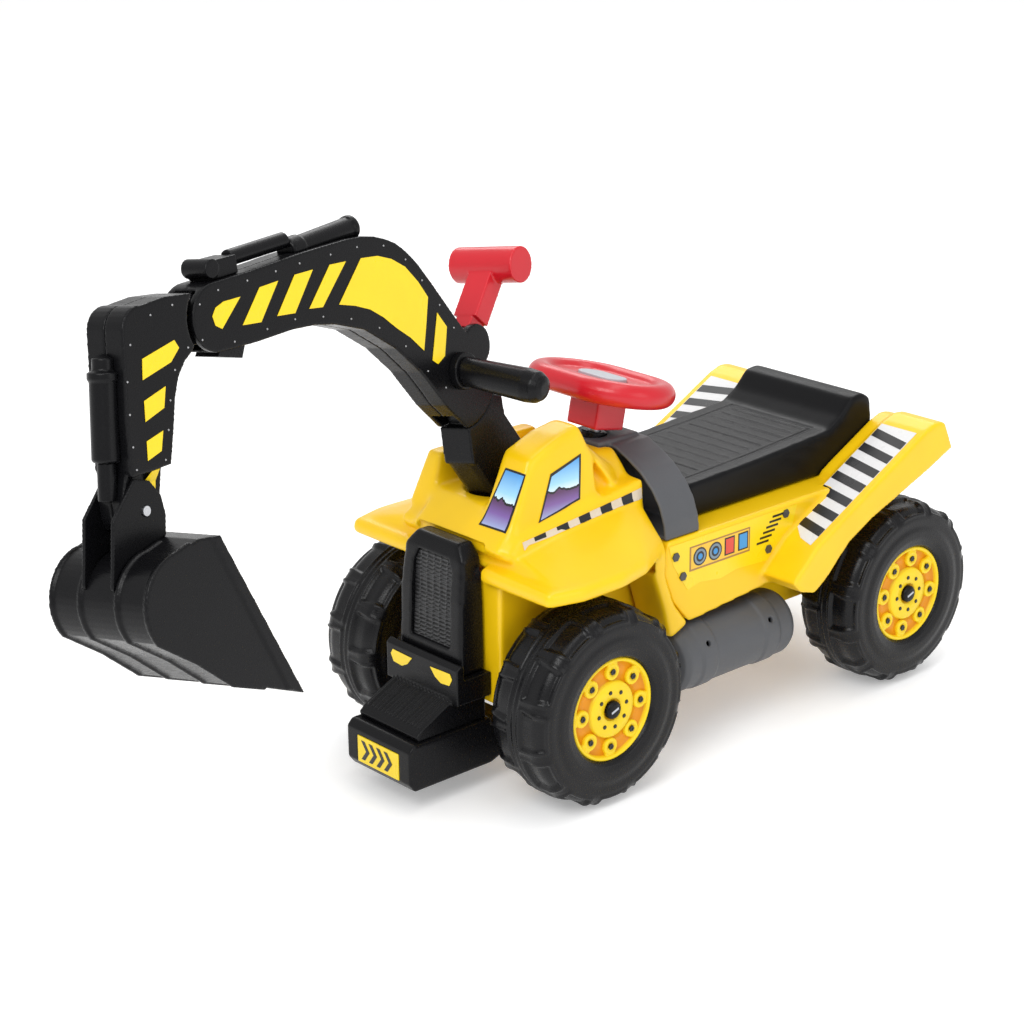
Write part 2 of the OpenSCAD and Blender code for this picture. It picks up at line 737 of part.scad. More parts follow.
module red_lever() {
    run = grip_at - lever_at;
    lean = atan2(run[0], run[1]);
    reach = norm(run);
    color([0.82, 0.09, 0.10]) on_arm() {
        rod_x(grip_at, grip_r, -grip_l / 2, grip_l / 2);
        difference() {
            translate([0, lever_at[0], lever_at[1]]) rotate([-lean, 0, 0])
                translate([-lever_half + 1, -10, 8]) cube([2 * lever_half - 2, 20, 24]);
            rod_x(lever_at, lever_r + 0.05, -20, 20);
        }
        difference() {
            translate([0, lever_at[0], lever_at[1]]) rotate([-lean, 0, 0])
                translate([-13, -10.5, ear_r + 6]) cube([26, 21, reach - ear_r - 8]);
            rod_x(lever_at, lever_r + 0.05, -20, 20);
        }
    }
}

module lever_hub() {
    color([0.06, 0.06, 0.065]) on_arm() difference() {
        rod_x(lever_at, lever_r, -lever_half, lever_half);
        rod_x(lever_at, pin_r + fit, -20, 20);
        rod_x(lever_at + crank, crank_pin_r + 0.02, -20, 20);
        slab(-2.4, 2.4) polygon([
            lever_at + [-40, 8], lever_at + [0, 6], lever_at + [10, 12], lever_at + [0, 40], lever_at + [-40, 40]
        ]);
    }
}

// the bent link between the lever and the stick, flat and on the middle plane
module pull_rod() {
    a = lever_at + crank;
    b = elbow + crank;
    color([0.7, 0.71, 0.72]) on_arm() difference() {
        union() {
            rod_x(a, 6.5, -1.5, 1.5);
            rod_x(b, 6.5, -1.5, 1.5);
            slab(-1.5, 1.5) polygon([
                a + [0, -4], [-250, 420], [-306, 451], [-372, 485], [-440, 497], b + [0, -4],
                b + [0, 4], [-440, 505], [-374, 493], [-308, 460], [-252, 428], a + [0, 4]
            ]);
        }
        rod_x(a, crank_pin_r + fit, -5, 5);
        rod_x(b, crank_pin_r + open_gap, -5, 5);
    }
}

module crank_pins() {
    color([0.7, 0.71, 0.72]) on_arm()
        rod_x(lever_at + crank, crank_pin_r, -lever_half + 1, lever_half - 1);
}

module stick_link_pin() {
    color([0.7, 0.71, 0.72]) on_arm()
        rod_x(elbow + crank, crank_pin_r, -neck_half + 1, neck_half - 1);
}

// ---------- stick ----------

module stick_outline() {
    polygon(concat(
        [[-572, 523], [-602, 526]],
        arc(-632, 505, 20, 75, 165, 6),
        [[-657, 470], [-662, 441], [-666, 402], [-665, 397], [-622, 397], [-614, 421],
            [-606, 448], [-599, 462], [-590, 472], [-580, 478]],
        arc(elbow[0], elbow[1], elbow_r + 8, 208, 138, 10)
    ));
}

module stick_foot() {
    polygon(concat(
        [[-660, 410], [-667, 397], [-674, 378]],
        arc(bucket_at[0], bucket_at[1], 19.5, 170, 355, 16),
        [[-627, 396], [-622, 410]]
    ));
}

module stick_neck() {
    translate(elbow) circle(r = 22, $fn = 64);
    polygon([[-546, 516], [-592, 516], [-604, 482], [-546, 479]]);
}

module stick_half() {
    difference() {
        union() {
            slab(0.05, stick_w / 2) stick_outline();
            slab(0.05, 13.5) stick_foot();
            slab(2.6, neck_half) stick_neck();
        }
        slab(-1, stick_w / 2 - wall) offset(delta = -wall) stick_outline();
        rod_x(elbow, pin_r + fit, -1, 30);
        rod_x(elbow + crank, crank_pin_r + 0.02, -1, neck_half - 1);
        rod_x(bucket_at, pin_r + 0.02, -1, 30);
    }
}

module stick_left_shell() {
    color([0.10, 0.10, 0.105]) on_arm() stick_half();
}

module stick_right_shell() {
    color([0.10, 0.10, 0.105]) on_arm() mirror([1, 0, 0]) stick_half();
}

module stick_cylinder() {
    color([0.08, 0.08, 0.085]) on_arm() difference() {
        translate([0, -671, 410]) rotate([-10, 0, 0]) rotate_extrude($fn = 64) polygon([
            [0, 0], [10, 0], [11.5, 2], [11.5, 62], [13, 64], [13, 69], [9, 71], [9, 80], [0, 84]
        ]);
        slab(-20, 20) offset(delta = 0.05) stick_outline();
    }
}

module stick_piston_rod() {
    color([0.11, 0.11, 0.115]) on_arm() difference() {
        translate([0, -671, 410]) rotate([-10, 0, 0])
            translate([0, 0, -30]) cylinder(r = 7.5, h = 29.8, $fn = 64);
        slab(-20, 20) offset(delta = 0.05) stick_foot();
        slab(-21, 21) offset(delta = 0.05) stick_outline();
    }
}

module stick_screws() {
    color([0.55, 0.55, 0.57]) on_arm()
        for (at = [[-620, 490], [-642, 440]])
            rod_x(at, 2.4, -stick_w / 2 + wall + 0.05, stick_w / 2 - wall - 0.05);
}

module bucket_pin() {
    color([0.7, 0.71, 0.72]) on_arm() rod_x(bucket_at, pin_r, -19, 19);
}

// ---------- bucket ----------

function bucket_back() = concat(
    [[-549, 187], [-617, 340], [-640, 343], [-664, 338]],
    arc(-664, 298, 40, 100, 215, 14),
    [[-660, 249], [-625, 219], [-590, 205]]
);

// the open side of the bucket, which faces the boom
module bucket_mouth() {
    polygon([[-500, 150], [-500, 360], [-612, 336], [-619, 320], [-553, 184]]);
}

module bucket() {
    skin = 3.5;
    half = bucket_w / 2;
    color([0.07, 0.07, 0.075]) on_arm() {
        difference() {
            slab(-half, half) polygon(bucket_back());
            slab(-half + skin, half - skin) difference() {
                offset(delta = -skin) polygon(bucket_back());
            }
            slab(-half + skin, half - skin) polygon([
                [-556, 194], [-618, 334], [-640, 338], [-500, 338], [-500, 194]
            ]);
        }
        both() slab(half - 0.5, half + 2)
            polygon([[-617, 340], [-627, 341], [-566, 196], [-549, 187]]);
        for (x = [-half, -half / 3 - 4.2, half / 3 + 0.2, half - 4]) translate([x, 0, 0])
            slab(0, 4) difference() {
                offset(delta = 2) polygon(bucket_back());
                polygon(bucket_back());
                polygon([[-600, 400], [-640, 400], [-655, 300], [-640, 232], [-500, 150], [-500, 400]]);
            }
    }
}

module bucket_fins() {
    color([0.07, 0.07, 0.075]) on_arm() both() difference() {
        slab(14, 17.5) difference() {
            polygon([
                [-662, 395], [-690, 369], [-697, 338], [-702, 318], [-690, 300], [-664, 300],
                [-640, 330], [-634, 360], [-636, 376], [-646, 390]
            ]);
            offset(delta = 0.05) polygon(bucket_back());
        }
        rod_x(bucket_at, pin_r + fit, 0, 30);
    }
}

body_shell();
hood_shell();
dash_cowl();
seat();
grille_panel();
grille_mesh();
step_ramp();
front_bumper();
bumper_label();
left_tank();
right_tank();
axle(-1);  // front_axle
axle(1);  // rear_axle
axle_caps();
swivel_socket();
column_bush();
body_screws();
tyre(1, -1);  // front_left_tyre
hub(1, -1);  // front_left_hub
tyre(-1, -1);  // front_right_tyre
hub(-1, -1);  // front_right_hub
tyre(1, 1);  // rear_left_tyre
hub(1, 1);  // rear_left_hub
tyre(-1, 1);  // rear_right_tyre
hub(-1, 1);  // rear_right_hub
steering_wheel();
steering_column();
horn_button();
horn_spring();
boom_base();
post_clip();
hinge_pin();
boom_left_shell();
boom_right_shell();
boom_cylinder();
boom_piston_rod();
boom_knuckle();
tip_stop();
elbow_pin();
side_handle();
handle_collar();
boom_screws();
lever_pin();
red_lever();
lever_hub();
crank_pins();
pull_rod();
stick_left_shell();
stick_right_shell();
stick_cylinder();
stick_piston_rod();
stick_screws();
stick_link_pin();
bucket_pin();
bucket();
bucket_fins();
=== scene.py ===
import json
import math

import bmesh
import bpy
from mathutils import Matrix, Vector


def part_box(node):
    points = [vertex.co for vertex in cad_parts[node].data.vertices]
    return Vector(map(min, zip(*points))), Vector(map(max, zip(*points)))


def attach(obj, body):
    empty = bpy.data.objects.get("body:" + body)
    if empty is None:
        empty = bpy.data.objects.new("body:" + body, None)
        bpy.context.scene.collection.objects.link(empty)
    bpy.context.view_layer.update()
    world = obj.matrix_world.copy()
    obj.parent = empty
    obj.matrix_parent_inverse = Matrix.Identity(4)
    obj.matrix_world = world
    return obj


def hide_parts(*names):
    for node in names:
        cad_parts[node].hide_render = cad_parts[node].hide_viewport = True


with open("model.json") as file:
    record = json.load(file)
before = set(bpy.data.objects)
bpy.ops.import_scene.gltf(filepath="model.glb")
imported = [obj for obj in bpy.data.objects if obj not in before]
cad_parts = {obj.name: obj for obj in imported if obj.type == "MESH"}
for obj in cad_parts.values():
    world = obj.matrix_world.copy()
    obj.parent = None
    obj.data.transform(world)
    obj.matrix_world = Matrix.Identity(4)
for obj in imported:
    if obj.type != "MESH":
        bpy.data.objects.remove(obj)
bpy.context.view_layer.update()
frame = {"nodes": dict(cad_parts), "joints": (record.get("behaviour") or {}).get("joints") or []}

MM = 0.001
NODES = frame["nodes"]
JOINTS = {j["name"]: j for j in frame["joints"]}

# Places in millimetres, from the middle of the wheelbase.
WHEEL_X = 121       # middle of a wheel
HALF_BASE = 210     # half the wheelbase
PANEL_X = 107       # outer face of a side panel
HOOD_X = 75         # side of the hood, under its check stripe
CAB_X = 64          # outer side of the small cab
POST_AT, POST_LEAN = (-12, -193, 273), 35
COLUMN_AT, COLUMN_LEAN = (0, -79, 337), -12

# Places in millimetres, in the arm's own drawing plane.
SWIVEL_AT = Vector((0, -180, 270))
BOOM_X = 18         # side face of the boom
STICK_X = 20        # side face of the stick

PRINT = 0.2         # thickness of a label on a flat face
WRAP = 0.25         # thickness of a label laid over a curved face


# ---------------------------------------------------------------- places

def middle(node):
    lo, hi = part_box(node)
    return (lo + hi) / 2


FRONT = middle("front_left_tyre")
REAR = middle("rear_left_tyre")
MIDDLE_Y = (FRONT.y + REAR.y) / 2
WHEEL_R = (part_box("front_left_tyre")[1].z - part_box("front_left_tyre")[0].z) / 2
TYRE_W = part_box("front_left_tyre")[1].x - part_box("front_left_tyre")[0].x


def machine():
    """Matrix from millimetres about the middle of the wheelbase to the row frame."""
    return Matrix.Translation((0, MIDDLE_Y, 0)) @ Matrix.Scale(MM, 4)


def arm():
    """Matrix from the arm's upright drawing plane, in millimetres, to the row frame."""
    axis = Vector(JOINTS["arm_swing"]["axis"])
    across = Vector(JOINTS["boom_lift"]["axis"])
    turn = Matrix.Rotation(math.acos(across.x / across.length), 4, axis)
    post = Matrix.Translation(Vector(JOINTS["arm_swing"]["pos_m"]))
    return post @ turn @ Matrix.Scale(MM, 4) @ Matrix.Translation(-SWIVEL_AT)


MACHINE = machine()
ARM = arm()

# ---------------------------------------------------------------- materials

def new_material(name):
    m = bpy.data.materials.new(name)
    m.use_nodes = True
    return m, m.node_tree, m.node_tree.nodes["Principled BSDF"]


def feed(nt, socket, value):
    """Links an output into a socket, or sets a plain value on it."""
    if hasattr(value, "is_output"):
        nt.links.new(value, socket)
    else:
        socket.default_value = value


def add(nt, kind, inputs=None, **props):
    n = nt.nodes.new(kind)
    for k, v in props.items():
        setattr(n, k, v)
    for k, v in (inputs or {}).items():
        feed(nt, n.inputs[k], v)
    return n


def object_space(nt):
    return add(nt, "ShaderNodeTexCoord").outputs["Object"]


def speckle(nt, at, scale, detail, roughness=0.5):
    inputs = {"Vector": at, "Scale": scale, "Detail": detail, "Roughness": roughness}
    return add(nt, "ShaderNodeTexNoise", inputs).outputs["Fac"]


def calc(nt, operation, *values):
    n = add(nt, "ShaderNodeMath", operation=operation)
    for socket, value in zip(n.inputs, values):
        feed(nt, socket, value)
    return n.outputs[0]


def mix_colour(nt, fac, a, b):
    n = add(nt, "ShaderNodeMix", {0: fac, 6: a, 7: b}, data_type="RGBA", blend_type="MIX")
    return n.outputs[2]


def ramp(nt, value, stops):
    n = add(nt, "ShaderNodeValToRGB", {0: value})
    e = n.color_ramp.elements
    while len(e) < len(stops):
        e.new(0.5)
    for i, (position, colour) in enumerate(stops):
        e[i].position = position
        e[i].color = colour if len(colour) == 4 else (*colour, 1)
    return n.outputs[0]


def vary_roughness(nt, shader, value, low, high, span=None):
    """Roughness that goes from low to high with a value."""
    r = add(nt, "ShaderNodeMapRange",
            {"Value": value, "To Min": low, "To Max": high, **(span or {})})
    feed(nt, shader.inputs["Roughness"], r.outputs[0])


def press(nt, shader, height, strength, distance):
    """Bump from a height map."""
    n = add(nt, "ShaderNodeBump", {"Height": height, "Strength": strength, "Distance": distance})
    feed(nt, shader.inputs["Normal"], n.outputs[0])


def shade(c, k):
    return (min(1, c[0] * k), min(1, c[1] * k), min(1, c[2] * k), 1)


def opaque(colour):
    return (*colour[:3], 1)


def plastic(name, colour, rough, grain=900, bump=0.12, worn=None, coat=0.0, mottled=0.05,
            spec=0.5, painted_shade=None):
    """Moulded plastic: faint colour flow, fine grain, scuffs, softly worn edges and, when given, a
    painted shade in the hollows.
    """
    m, nt, shader = new_material(name)
    at = object_space(nt)
    flow = speckle(nt, at, 16, 3, 0.55)
    base = ramp(nt, flow, [(0.3, shade(colour, 1 - mottled)), (0.7, shade(colour, 1 + mottled))])
    edges = add(nt, "ShaderNodeNewGeometry").outputs["Pointiness"]
    # Painted shade: hollows, where pointiness is low, take a darker colour that stands in for the
    # shade falling there.
    if painted_shade:
        shade_mask = ramp(nt, edges, [(0.40, (1, 1, 1)), (0.495, (0, 0, 0))])
        base = mix_colour(nt, shade_mask, base, opaque(painted_shade))
    wear = calc(nt, "MULTIPLY", ramp(nt, edges, [(0.52, (0, 0, 0)), (0.60, (1, 1, 1))]), 0.35)
    base = mix_colour(nt, wear, base, opaque(worn or shade(colour, 1.35)))
    feed(nt, shader.inputs["Base Color"], base)
    drawn = add(nt, "ShaderNodeMapping",
                {"Vector": at, "Scale": (9, 120, 60), "Rotation": (0.3, 0.5, 0.2)})
    scuffs = speckle(nt, drawn.outputs[0], 6, 5, 0.7)
    vary_roughness(nt, shader, scuffs, rough, rough + 0.16, {"From Min": 0.42, "From Max": 0.75})
    fine = speckle(nt, at, grain, 2, 0.6)
    wavy = speckle(nt, at, 38, 1)
    press(nt, shader, calc(nt, "MULTIPLY_ADD", wavy, 2.2, fine), bump, 0.0006)
    shader.inputs["Coat Weight"].default_value = coat
    shader.inputs["Coat Roughness"].default_value = 0.12
    shader.inputs["Specular IOR Level"].default_value = spec
    return m


def metal(name, colour, rough):
    """Zinc-plated steel with fine marks along it."""
    m, nt, shader = new_material(name)
    along = add(nt, "ShaderNodeMapping", {"Vector": object_space(nt), "Scale": (20, 600, 600)})
    marks = speckle(nt, along.outputs[0], 3, 3)
    base = ramp(nt, marks, [(0.3, shade(colour, 0.8)), (0.7, shade(colour, 1.1))])
    feed(nt, shader.inputs["Base Color"], base)
    vary_roughness(nt, shader, marks, rough, rough + 0.2)
    shader.inputs["Metallic"].default_value = 1.0
    return m


def film(name, colour, second=None):
    """Printed label film: flat ink with a faint print grain and a gloss that varies a little."""
    m, nt, shader = new_material(name)
    at = object_space(nt)
    grain = speckle(nt, at, 420, 2)
    broad = speckle(nt, at, 30, 2)
    ink = ramp(nt, grain, [(0.3, shade(colour, 0.97)), (0.7, shade(colour, 1.03))])
    ink = mix_colour(nt, broad, ink, opaque(second or shade(colour, 0.92)))
    feed(nt, shader.inputs["Base Color"], ink)
    vary_roughness(nt, shader, broad, 0.22, 0.36)
    press(nt, shader, grain, 0.05, 0.0002)
    return m


def window_film(name):
    """Printed window: blue sky over a wavy skyline and violet ground."""
    m, nt, shader = new_material(name)
    uv = add(nt, "ShaderNodeTexCoord").outputs["UV"]
    split = add(nt, "ShaderNodeSeparateXYZ", {0: uv})
    across, up = split.outputs[0], split.outputs[1]
    sky = ramp(nt, up, [(0.45, (0.75, 0.88, 0.95)), (0.62, (0.35, 0.66, 0.90)),
                        (1.0, (0.08, 0.32, 0.72))])
    ground = ramp(nt, up, [(0.0, (0.34, 0.40, 0.66)), (0.25, (0.20, 0.11, 0.36)),
                           (0.45, (0.10, 0.04, 0.12))])
    hills = add(nt, "ShaderNodeTexNoise", {"W": across, "Scale": 3.2, "Detail": 2},
                noise_dimensions="1D").outputs["Fac"]
    skyline = calc(nt, "MULTIPLY_ADD", hills, 0.35, 0.30)
    ink = mix_colour(nt, calc(nt, "GREATER_THAN", up, skyline), ground, sky)
    outline = calc(nt, "COMPARE", calc(nt, "SUBTRACT", up, skyline), 0.0, 0.022)
    ink = mix_colour(nt, outline, ink, (0.01, 0.01, 0.012, 1))
    feed(nt, shader.inputs["Base Color"], ink)
    vary_roughness(nt, shader, hills, 0.16, 0.28)
    return m


def woven(name):
    """Dark grille cloth: crossed diagonal strands with lit ridges."""
    m, nt, shader = new_material(name)
    at = object_space(nt)
    strands = []
    for angle in (0.75, -0.75):
        turned = add(nt, "ShaderNodeMapping", {"Vector": at, "Rotation": (angle, 0, 0)})
        wave = {"Vector": turned.outputs[0], "Scale": 110, "Distortion": 0.4, "Detail": 1}
        strands.append(add(nt, "ShaderNodeTexWave", wave, bands_direction="Z").outputs["Fac"])
    top = calc(nt, "MAXIMUM", *strands)
    base = ramp(nt, top, [(0.5, (0.002, 0.002, 0.002)), (0.95, (0.03, 0.03, 0.032))])
    feed(nt, shader.inputs["Base Color"], base)
    vary_roughness(nt, shader, top, 0.6, 0.3)
    press(nt, shader, top, 0.7, 0.0012)
    return m


# The yellow's orange colour in hollows is painted shade.
YELLOW = plastic("yellow_plastic", (0.88, 0.55, 0.004), 0.30, bump=0.06, worn=(0.97, 0.72, 0.05),
                 coat=0.12, mottled=0.035, spec=0.32, painted_shade=(0.80, 0.34, 0.003))
BLACK = plastic("black_plastic", (0.004, 0.004, 0.0047), 0.25, grain=760, bump=0.11,
                worn=(0.022, 0.022, 0.024), spec=0.17)
TYRE = plastic("tyre_plastic", (0.004, 0.004, 0.0048), 0.24, grain=640, bump=0.26,
               worn=(0.026, 0.026, 0.028), spec=0.24)
SEAT = plastic("seat_plastic", (0.004, 0.004, 0.0047), 0.30, grain=820, bump=0.14,
               worn=(0.022, 0.022, 0.024), spec=0.13)
GREY = plastic("grey_plastic", (0.085, 0.088, 0.095), 0.42, grain=700, bump=0.14,
               worn=(0.17, 0.175, 0.19), spec=0.3)
RED = plastic("red_plastic", (0.55, 0.008, 0.018), 0.28, bump=0.08, worn=(0.75, 0.07, 0.08),
              coat=0.15, spec=0.4)
PALE = plastic("pale_plastic", (0.42, 0.44, 0.48), 0.30, bump=0.08)
# The hubs' darker colour in their hollows is painted shade.
HUB_YELLOW = plastic("hub_yellow", (0.84, 0.58, 0.01), 0.30, bump=0.05, spec=0.3,
                     painted_shade=(0.75, 0.30, 0.003))
HUB_ORANGE = plastic("hub_orange", (0.80, 0.42, 0.008), 0.32, bump=0.05, spec=0.3,
                     painted_shade=(0.70, 0.22, 0.002))
# The light grey of the rivets is a painted highlight: the real bumps are black plastic.
RIVET_HIGHLIGHT = plastic("rivet_painted_highlight", (0.30, 0.30, 0.31), 0.25)
RIVET_DARK = plastic("bolt_dark", (0.02, 0.02, 0.022), 0.35, worn=(0.1, 0.1, 0.1))
STEEL = metal("zinc_steel", (0.62, 0.63, 0.66), 0.28)
INK_YELLOW = film("ink_yellow", (0.88, 0.66, 0.005), (0.88, 0.60, 0.004))
INK_BLACK = film("ink_black", (0.008, 0.008, 0.009))
INK_WHITE = film("ink_white", (0.72, 0.72, 0.72))
INK_BEIGE = film("ink_beige", (0.62, 0.50, 0.36), (0.68, 0.62, 0.52))
INK_BROWN = film("ink_brown", (0.30, 0.14, 0.03), (0.42, 0.22, 0.05))
INK_RED = film("ink_red", (0.60, 0.02, 0.015), (0.75, 0.10, 0.05))
INK_BLUE = film("ink_blue", (0.02, 0.18, 0.50), (0.05, 0.35, 0.70))
INK_STEEL = film("ink_steel", (0.12, 0.17, 0.22), (0.25, 0.32, 0.38))
INK_GOLD = film("ink_gold", (0.80, 0.45, 0.02), (0.85, 0.55, 0.05))
WINDOW = window_film("window_film")
WOVEN = woven("grille_weave")


# ---------------------------------------------------------------- making pieces

def piece(name, verts, faces, mats, body, matrix, smooth=True, face_mats=None):
    """A piece from its vertices and faces, riding on a body."""
    mesh = bpy.data.meshes.new(name)
    mesh.from_pydata([tuple(v) for v in verts], [], faces)
    mesh.transform(matrix)
    for m in mats if isinstance(mats, (list, tuple)) else [mats]:
        mesh.materials.append(m)
    mesh.update()
    for i, p in enumerate(mesh.polygons):
        p.use_smooth = smooth
        if face_mats:
            p.material_index = face_mats[i]
    bm = bmesh.new()
    bm.from_mesh(mesh)
    bmesh.ops.recalc_face_normals(bm, faces=bm.faces)
    bm.to_mesh(mesh)
    bm.free()
    o = bpy.data.objects.new(name, mesh)
    bpy.context.scene.collection.objects.link(o)
    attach(o, body)
    return o


def moulded(node, material, voxel, rounds):
    """Softens a CAD node as moulding would: one skin, rounded edges."""
    o = NODES[node]
    o.data.materials.clear()
    o.data.materials.append(material)
    m = o.modifiers.new("skin", "REMESH")
    m.mode = "VOXEL"
    m.voxel_size = voxel * MM
    m.use_smooth_shade = True
    s = o.modifiers.new("soft", "SMOOTH")
    s.factor = 0.5
    s.iterations = rounds


def plain(node, material):
    """A small CAD node with softened edges."""
    o = NODES[node]
    o.data.materials.clear()
    o.data.materials.append(material)
    w = o.modifiers.new("weld", "WELD")
    w.merge_threshold = 0.02 * MM
    b = o.modifiers.new("edge", "BEVEL")
    b.width = 0.5 * MM
    b.segments = 2
    b.limit_method = "ANGLE"
    b.angle_limit = math.radians(35)
    for p in o.data.polygons:
        p.use_smooth = False


def cut_sheet(outline, step, thickness, matrix, name, material, body, target=None, lift=0.25):
    """A thin label cut to an outline and divided at a step, so that it can bend.

    It is laid on a target's surface or, with no target, on its own plane.
    """
    bm = bmesh.new()
    bm.faces.new([bm.verts.new((u, v, 0 if target else lift)) for u, v in outline])
    us, vs = [p[0] for p in outline], [p[1] for p in outline]
    if step:
        for axis, lo, hi in ((0, min(us), max(us)), (1, min(vs), max(vs))):
            n = int((hi - lo) / step)
            for i in range(1, n + 1):
                at, across = [0, 0, 0], [0, 0, 0]
                at[axis], across[axis] = lo + i * (hi - lo) / (n + 1), 1
                bmesh.ops.bisect_plane(bm, geom=bm.verts[:] + bm.edges[:] + bm.faces[:],
                                       plane_co=at, plane_no=across)
    uv = bm.loops.layers.uv.new("print")
    width, height = max(us) - min(us), max(vs) - min(vs)
    for face in bm.faces:
        for corner in face.loops:
            co = corner.vert.co
            corner[uv].uv = ((co.x - min(us)) / width, (co.y - min(vs)) / height)
    mesh = bpy.data.meshes.new(name)
    bm.to_mesh(mesh)
    bm.free()
    mesh.transform(matrix)
    mesh.update()
    outward = matrix.to_3x3() @ Vector((0, 0, 1))
    if mesh.polygons[0].normal.dot(outward) < 0:
        mesh.flip_normals()
    mesh.materials.append(material)
    o = bpy.data.objects.new(name, mesh)
    bpy.context.scene.collection.objects.link(o)
    if target:
        s = o.modifiers.new("lay", "SHRINKWRAP")
        s.target = target
        s.wrap_method = "NEAREST_SURFACEPOINT"
        s.wrap_mode = "OUTSIDE_SURFACE"
        s.offset = lift * MM
    t = o.modifiers.new("thick", "SOLIDIFY")
    t.thickness = thickness * MM
    t.offset = 1
    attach(o, body)


def hulls(groups):
    """A mesh of the convex hulls of several groups of points."""
    bm = bmesh.new()
    for points in groups:
        verts = [bm.verts.new(p) for p in points]
        made = bmesh.ops.convex_hull(bm, input=verts, use_existing_faces=False)
        spare = {v for v in made["geom_interior"] if isinstance(v, bmesh.types.BMVert)}
        bmesh.ops.delete(bm, geom=list(spare), context="VERTS")
    mesh = bpy.data.meshes.new("hulls")
    bm.to_mesh(mesh)
    bm.free()
    return mesh


def evaluated(mesh, steps):
    """The mesh after a list of modifiers, each with its settings."""
    o = bpy.data.objects.new("draft", mesh)
    bpy.context.scene.collection.objects.link(o)
    cutters = []
    for kind, settings in steps:
        m = o.modifiers.new(kind, kind)
        for k, v in settings.items():
            if k == "cutter":
                c = bpy.data.objects.new("cutter", v)
                bpy.context.scene.collection.objects.link(c)
                cutters.append(c)
                m.object = c
            else:
                setattr(m, k, v)
    graph = bpy.context.evaluated_depsgraph_get()
    out = bpy.data.meshes.new_from_object(o.evaluated_get(graph))
    for item in [o] + cutters:
        bpy.data.objects.remove(item)
    return out


def skin_steps(voxel, rounds):
    """Modifiers that turn overlapping hulls into one rounded skin."""
    return [("REMESH", dict(mode="VOXEL", voxel_size=voxel)),
            ("SMOOTH", dict(factor=0.5, iterations=rounds))]


def finished(name, mesh, material, body, node):
    """A skin that stands in for a CAD node."""
    for p in mesh.polygons:
        p.use_smooth = True
    mesh.materials.clear()
    mesh.materials.append(material)
    o = bpy.data.objects.new(name, mesh)
    bpy.context.scene.collection.objects.link(o)
    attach(o, body)
    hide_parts(node)


def boxed(x0, x1, y0, y1, z0, z1):
    """Corners of a box."""
    return [(x, y, z) for x in (x0, x1) for y in (y0, y1) for z in (z0, z1)]


def round_bar(radius, z0, z1, matrix):
    """Points of a cylinder from z0 to z1."""
    n = 64
    pts = []
    for i in range(n):
        t = 2 * math.pi * i / n
        x, y = radius * math.cos(t), radius * math.sin(t)
        pts += [matrix @ Vector((x, y, z)) for z in (z0, z1)]
    return pts


def ring_faces(rows, cols):
    """Faces between rows of vertices, each row closed round."""
    out = []
    for i in range(rows - 1):
        for j in range(cols):
            k = (j + 1) % cols
            out.append((i * cols + j, i * cols + k, (i + 1) * cols + k, (i + 1) * cols + j))
    return out


def lathe(profile, n, axis_map):
    """Vertices and faces of a profile of (radius, along) turned round an axis."""
    verts = []
    for r, h in profile:
        for j in range(n):
            t = 2 * math.pi * j / n
            verts.append(axis_map(r * math.cos(t), r * math.sin(t), h))
    return verts, ring_faces(len(profile), n)


def resample(points, n):
    """Points at even distances along a line, each with its distance from the start."""
    pts = [Vector(p) for p in points]
    run = [0]
    for a, b in zip(pts, pts[1:]):
        run.append(run[-1] + (b - a).length)
    out = []
    k = 0
    for i in range(n):
        d = run[-1] * i / (n - 1)
        while k < len(run) - 2 and run[k + 1] < d:
            k += 1
        t = (d - run[k]) / max(1e-9, run[k + 1] - run[k])
        out.append((pts[k].lerp(pts[k + 1], t), d))
    return out


def arc(cx, cy, r, a0, a1, n):
    turns = [math.radians(a0 + (a1 - a0) * i / n) for i in range(n + 1)]
    return [(cx + r * math.cos(t), cy + r * math.sin(t)) for t in turns]


def smooth_step(x):
    x = min(1, max(0, x))
    return x * x * (3 - 2 * x)
# ---------------------------------------------------------------- wheels

LUGS = 12
AROUND = 288        # vertices round a tyre
BEAD_R = 49         # where the tyre meets the hub
HUB_STEPS = 128     # vertices round a hub

# Profiles of (radius, outward from the wheel's middle).
HUB_RIM = [(46.5, -26), (50, -26), (50, 30.5), (49.2, 32.4), (47.6, 33), (46.2, 32.2), (45.4, 30),
           (45, 28.4), (27.6, 28.4), (27, 31.4), (25.8, 32.4), (11.4, 32.4), (10.6, 31.6),
           (10.2, 30.6), (5.05, 30.6), (5.05, -39), (11, -39), (11, 24), (46.5, 24)]
HUB_ORANGE_RINGS = (7, 12, 13)
BOSS = [(8.3, 28.3), (8.2, 31.0), (7.4, 31.8), (4.8, 31.8), (4.2, 31.0), (0.01, 31.0)]
BOSS_FOOT = [(6.2, 28.3), (6.1, 30.8), (5.2, 31.4), (0.01, 31.4)]
BOLT = [(3.1, 30.9), (3.1, 32.2), (2.6, 32.7), (1.2, 32.7), (0.9, 32.1), (0.01, 32.1)]
STUD = [(2.1, 32.3), (2.1, 33.1), (1.6, 33.5), (0.01, 33.5)]
CAP = [(8.6, 30.9), (8.6, 33.6), (7.6, 35.2), (5.4, 35.8), (0.01, 35.8)]


def wheel_name(side, end):
    return f"{'front' if end < 0 else 'rear'}_{'left' if side > 0 else 'right'}"


def wheel_place(name):
    return Matrix.Translation(middle(name + "_tyre")) @ Matrix.Scale(MM, 4)


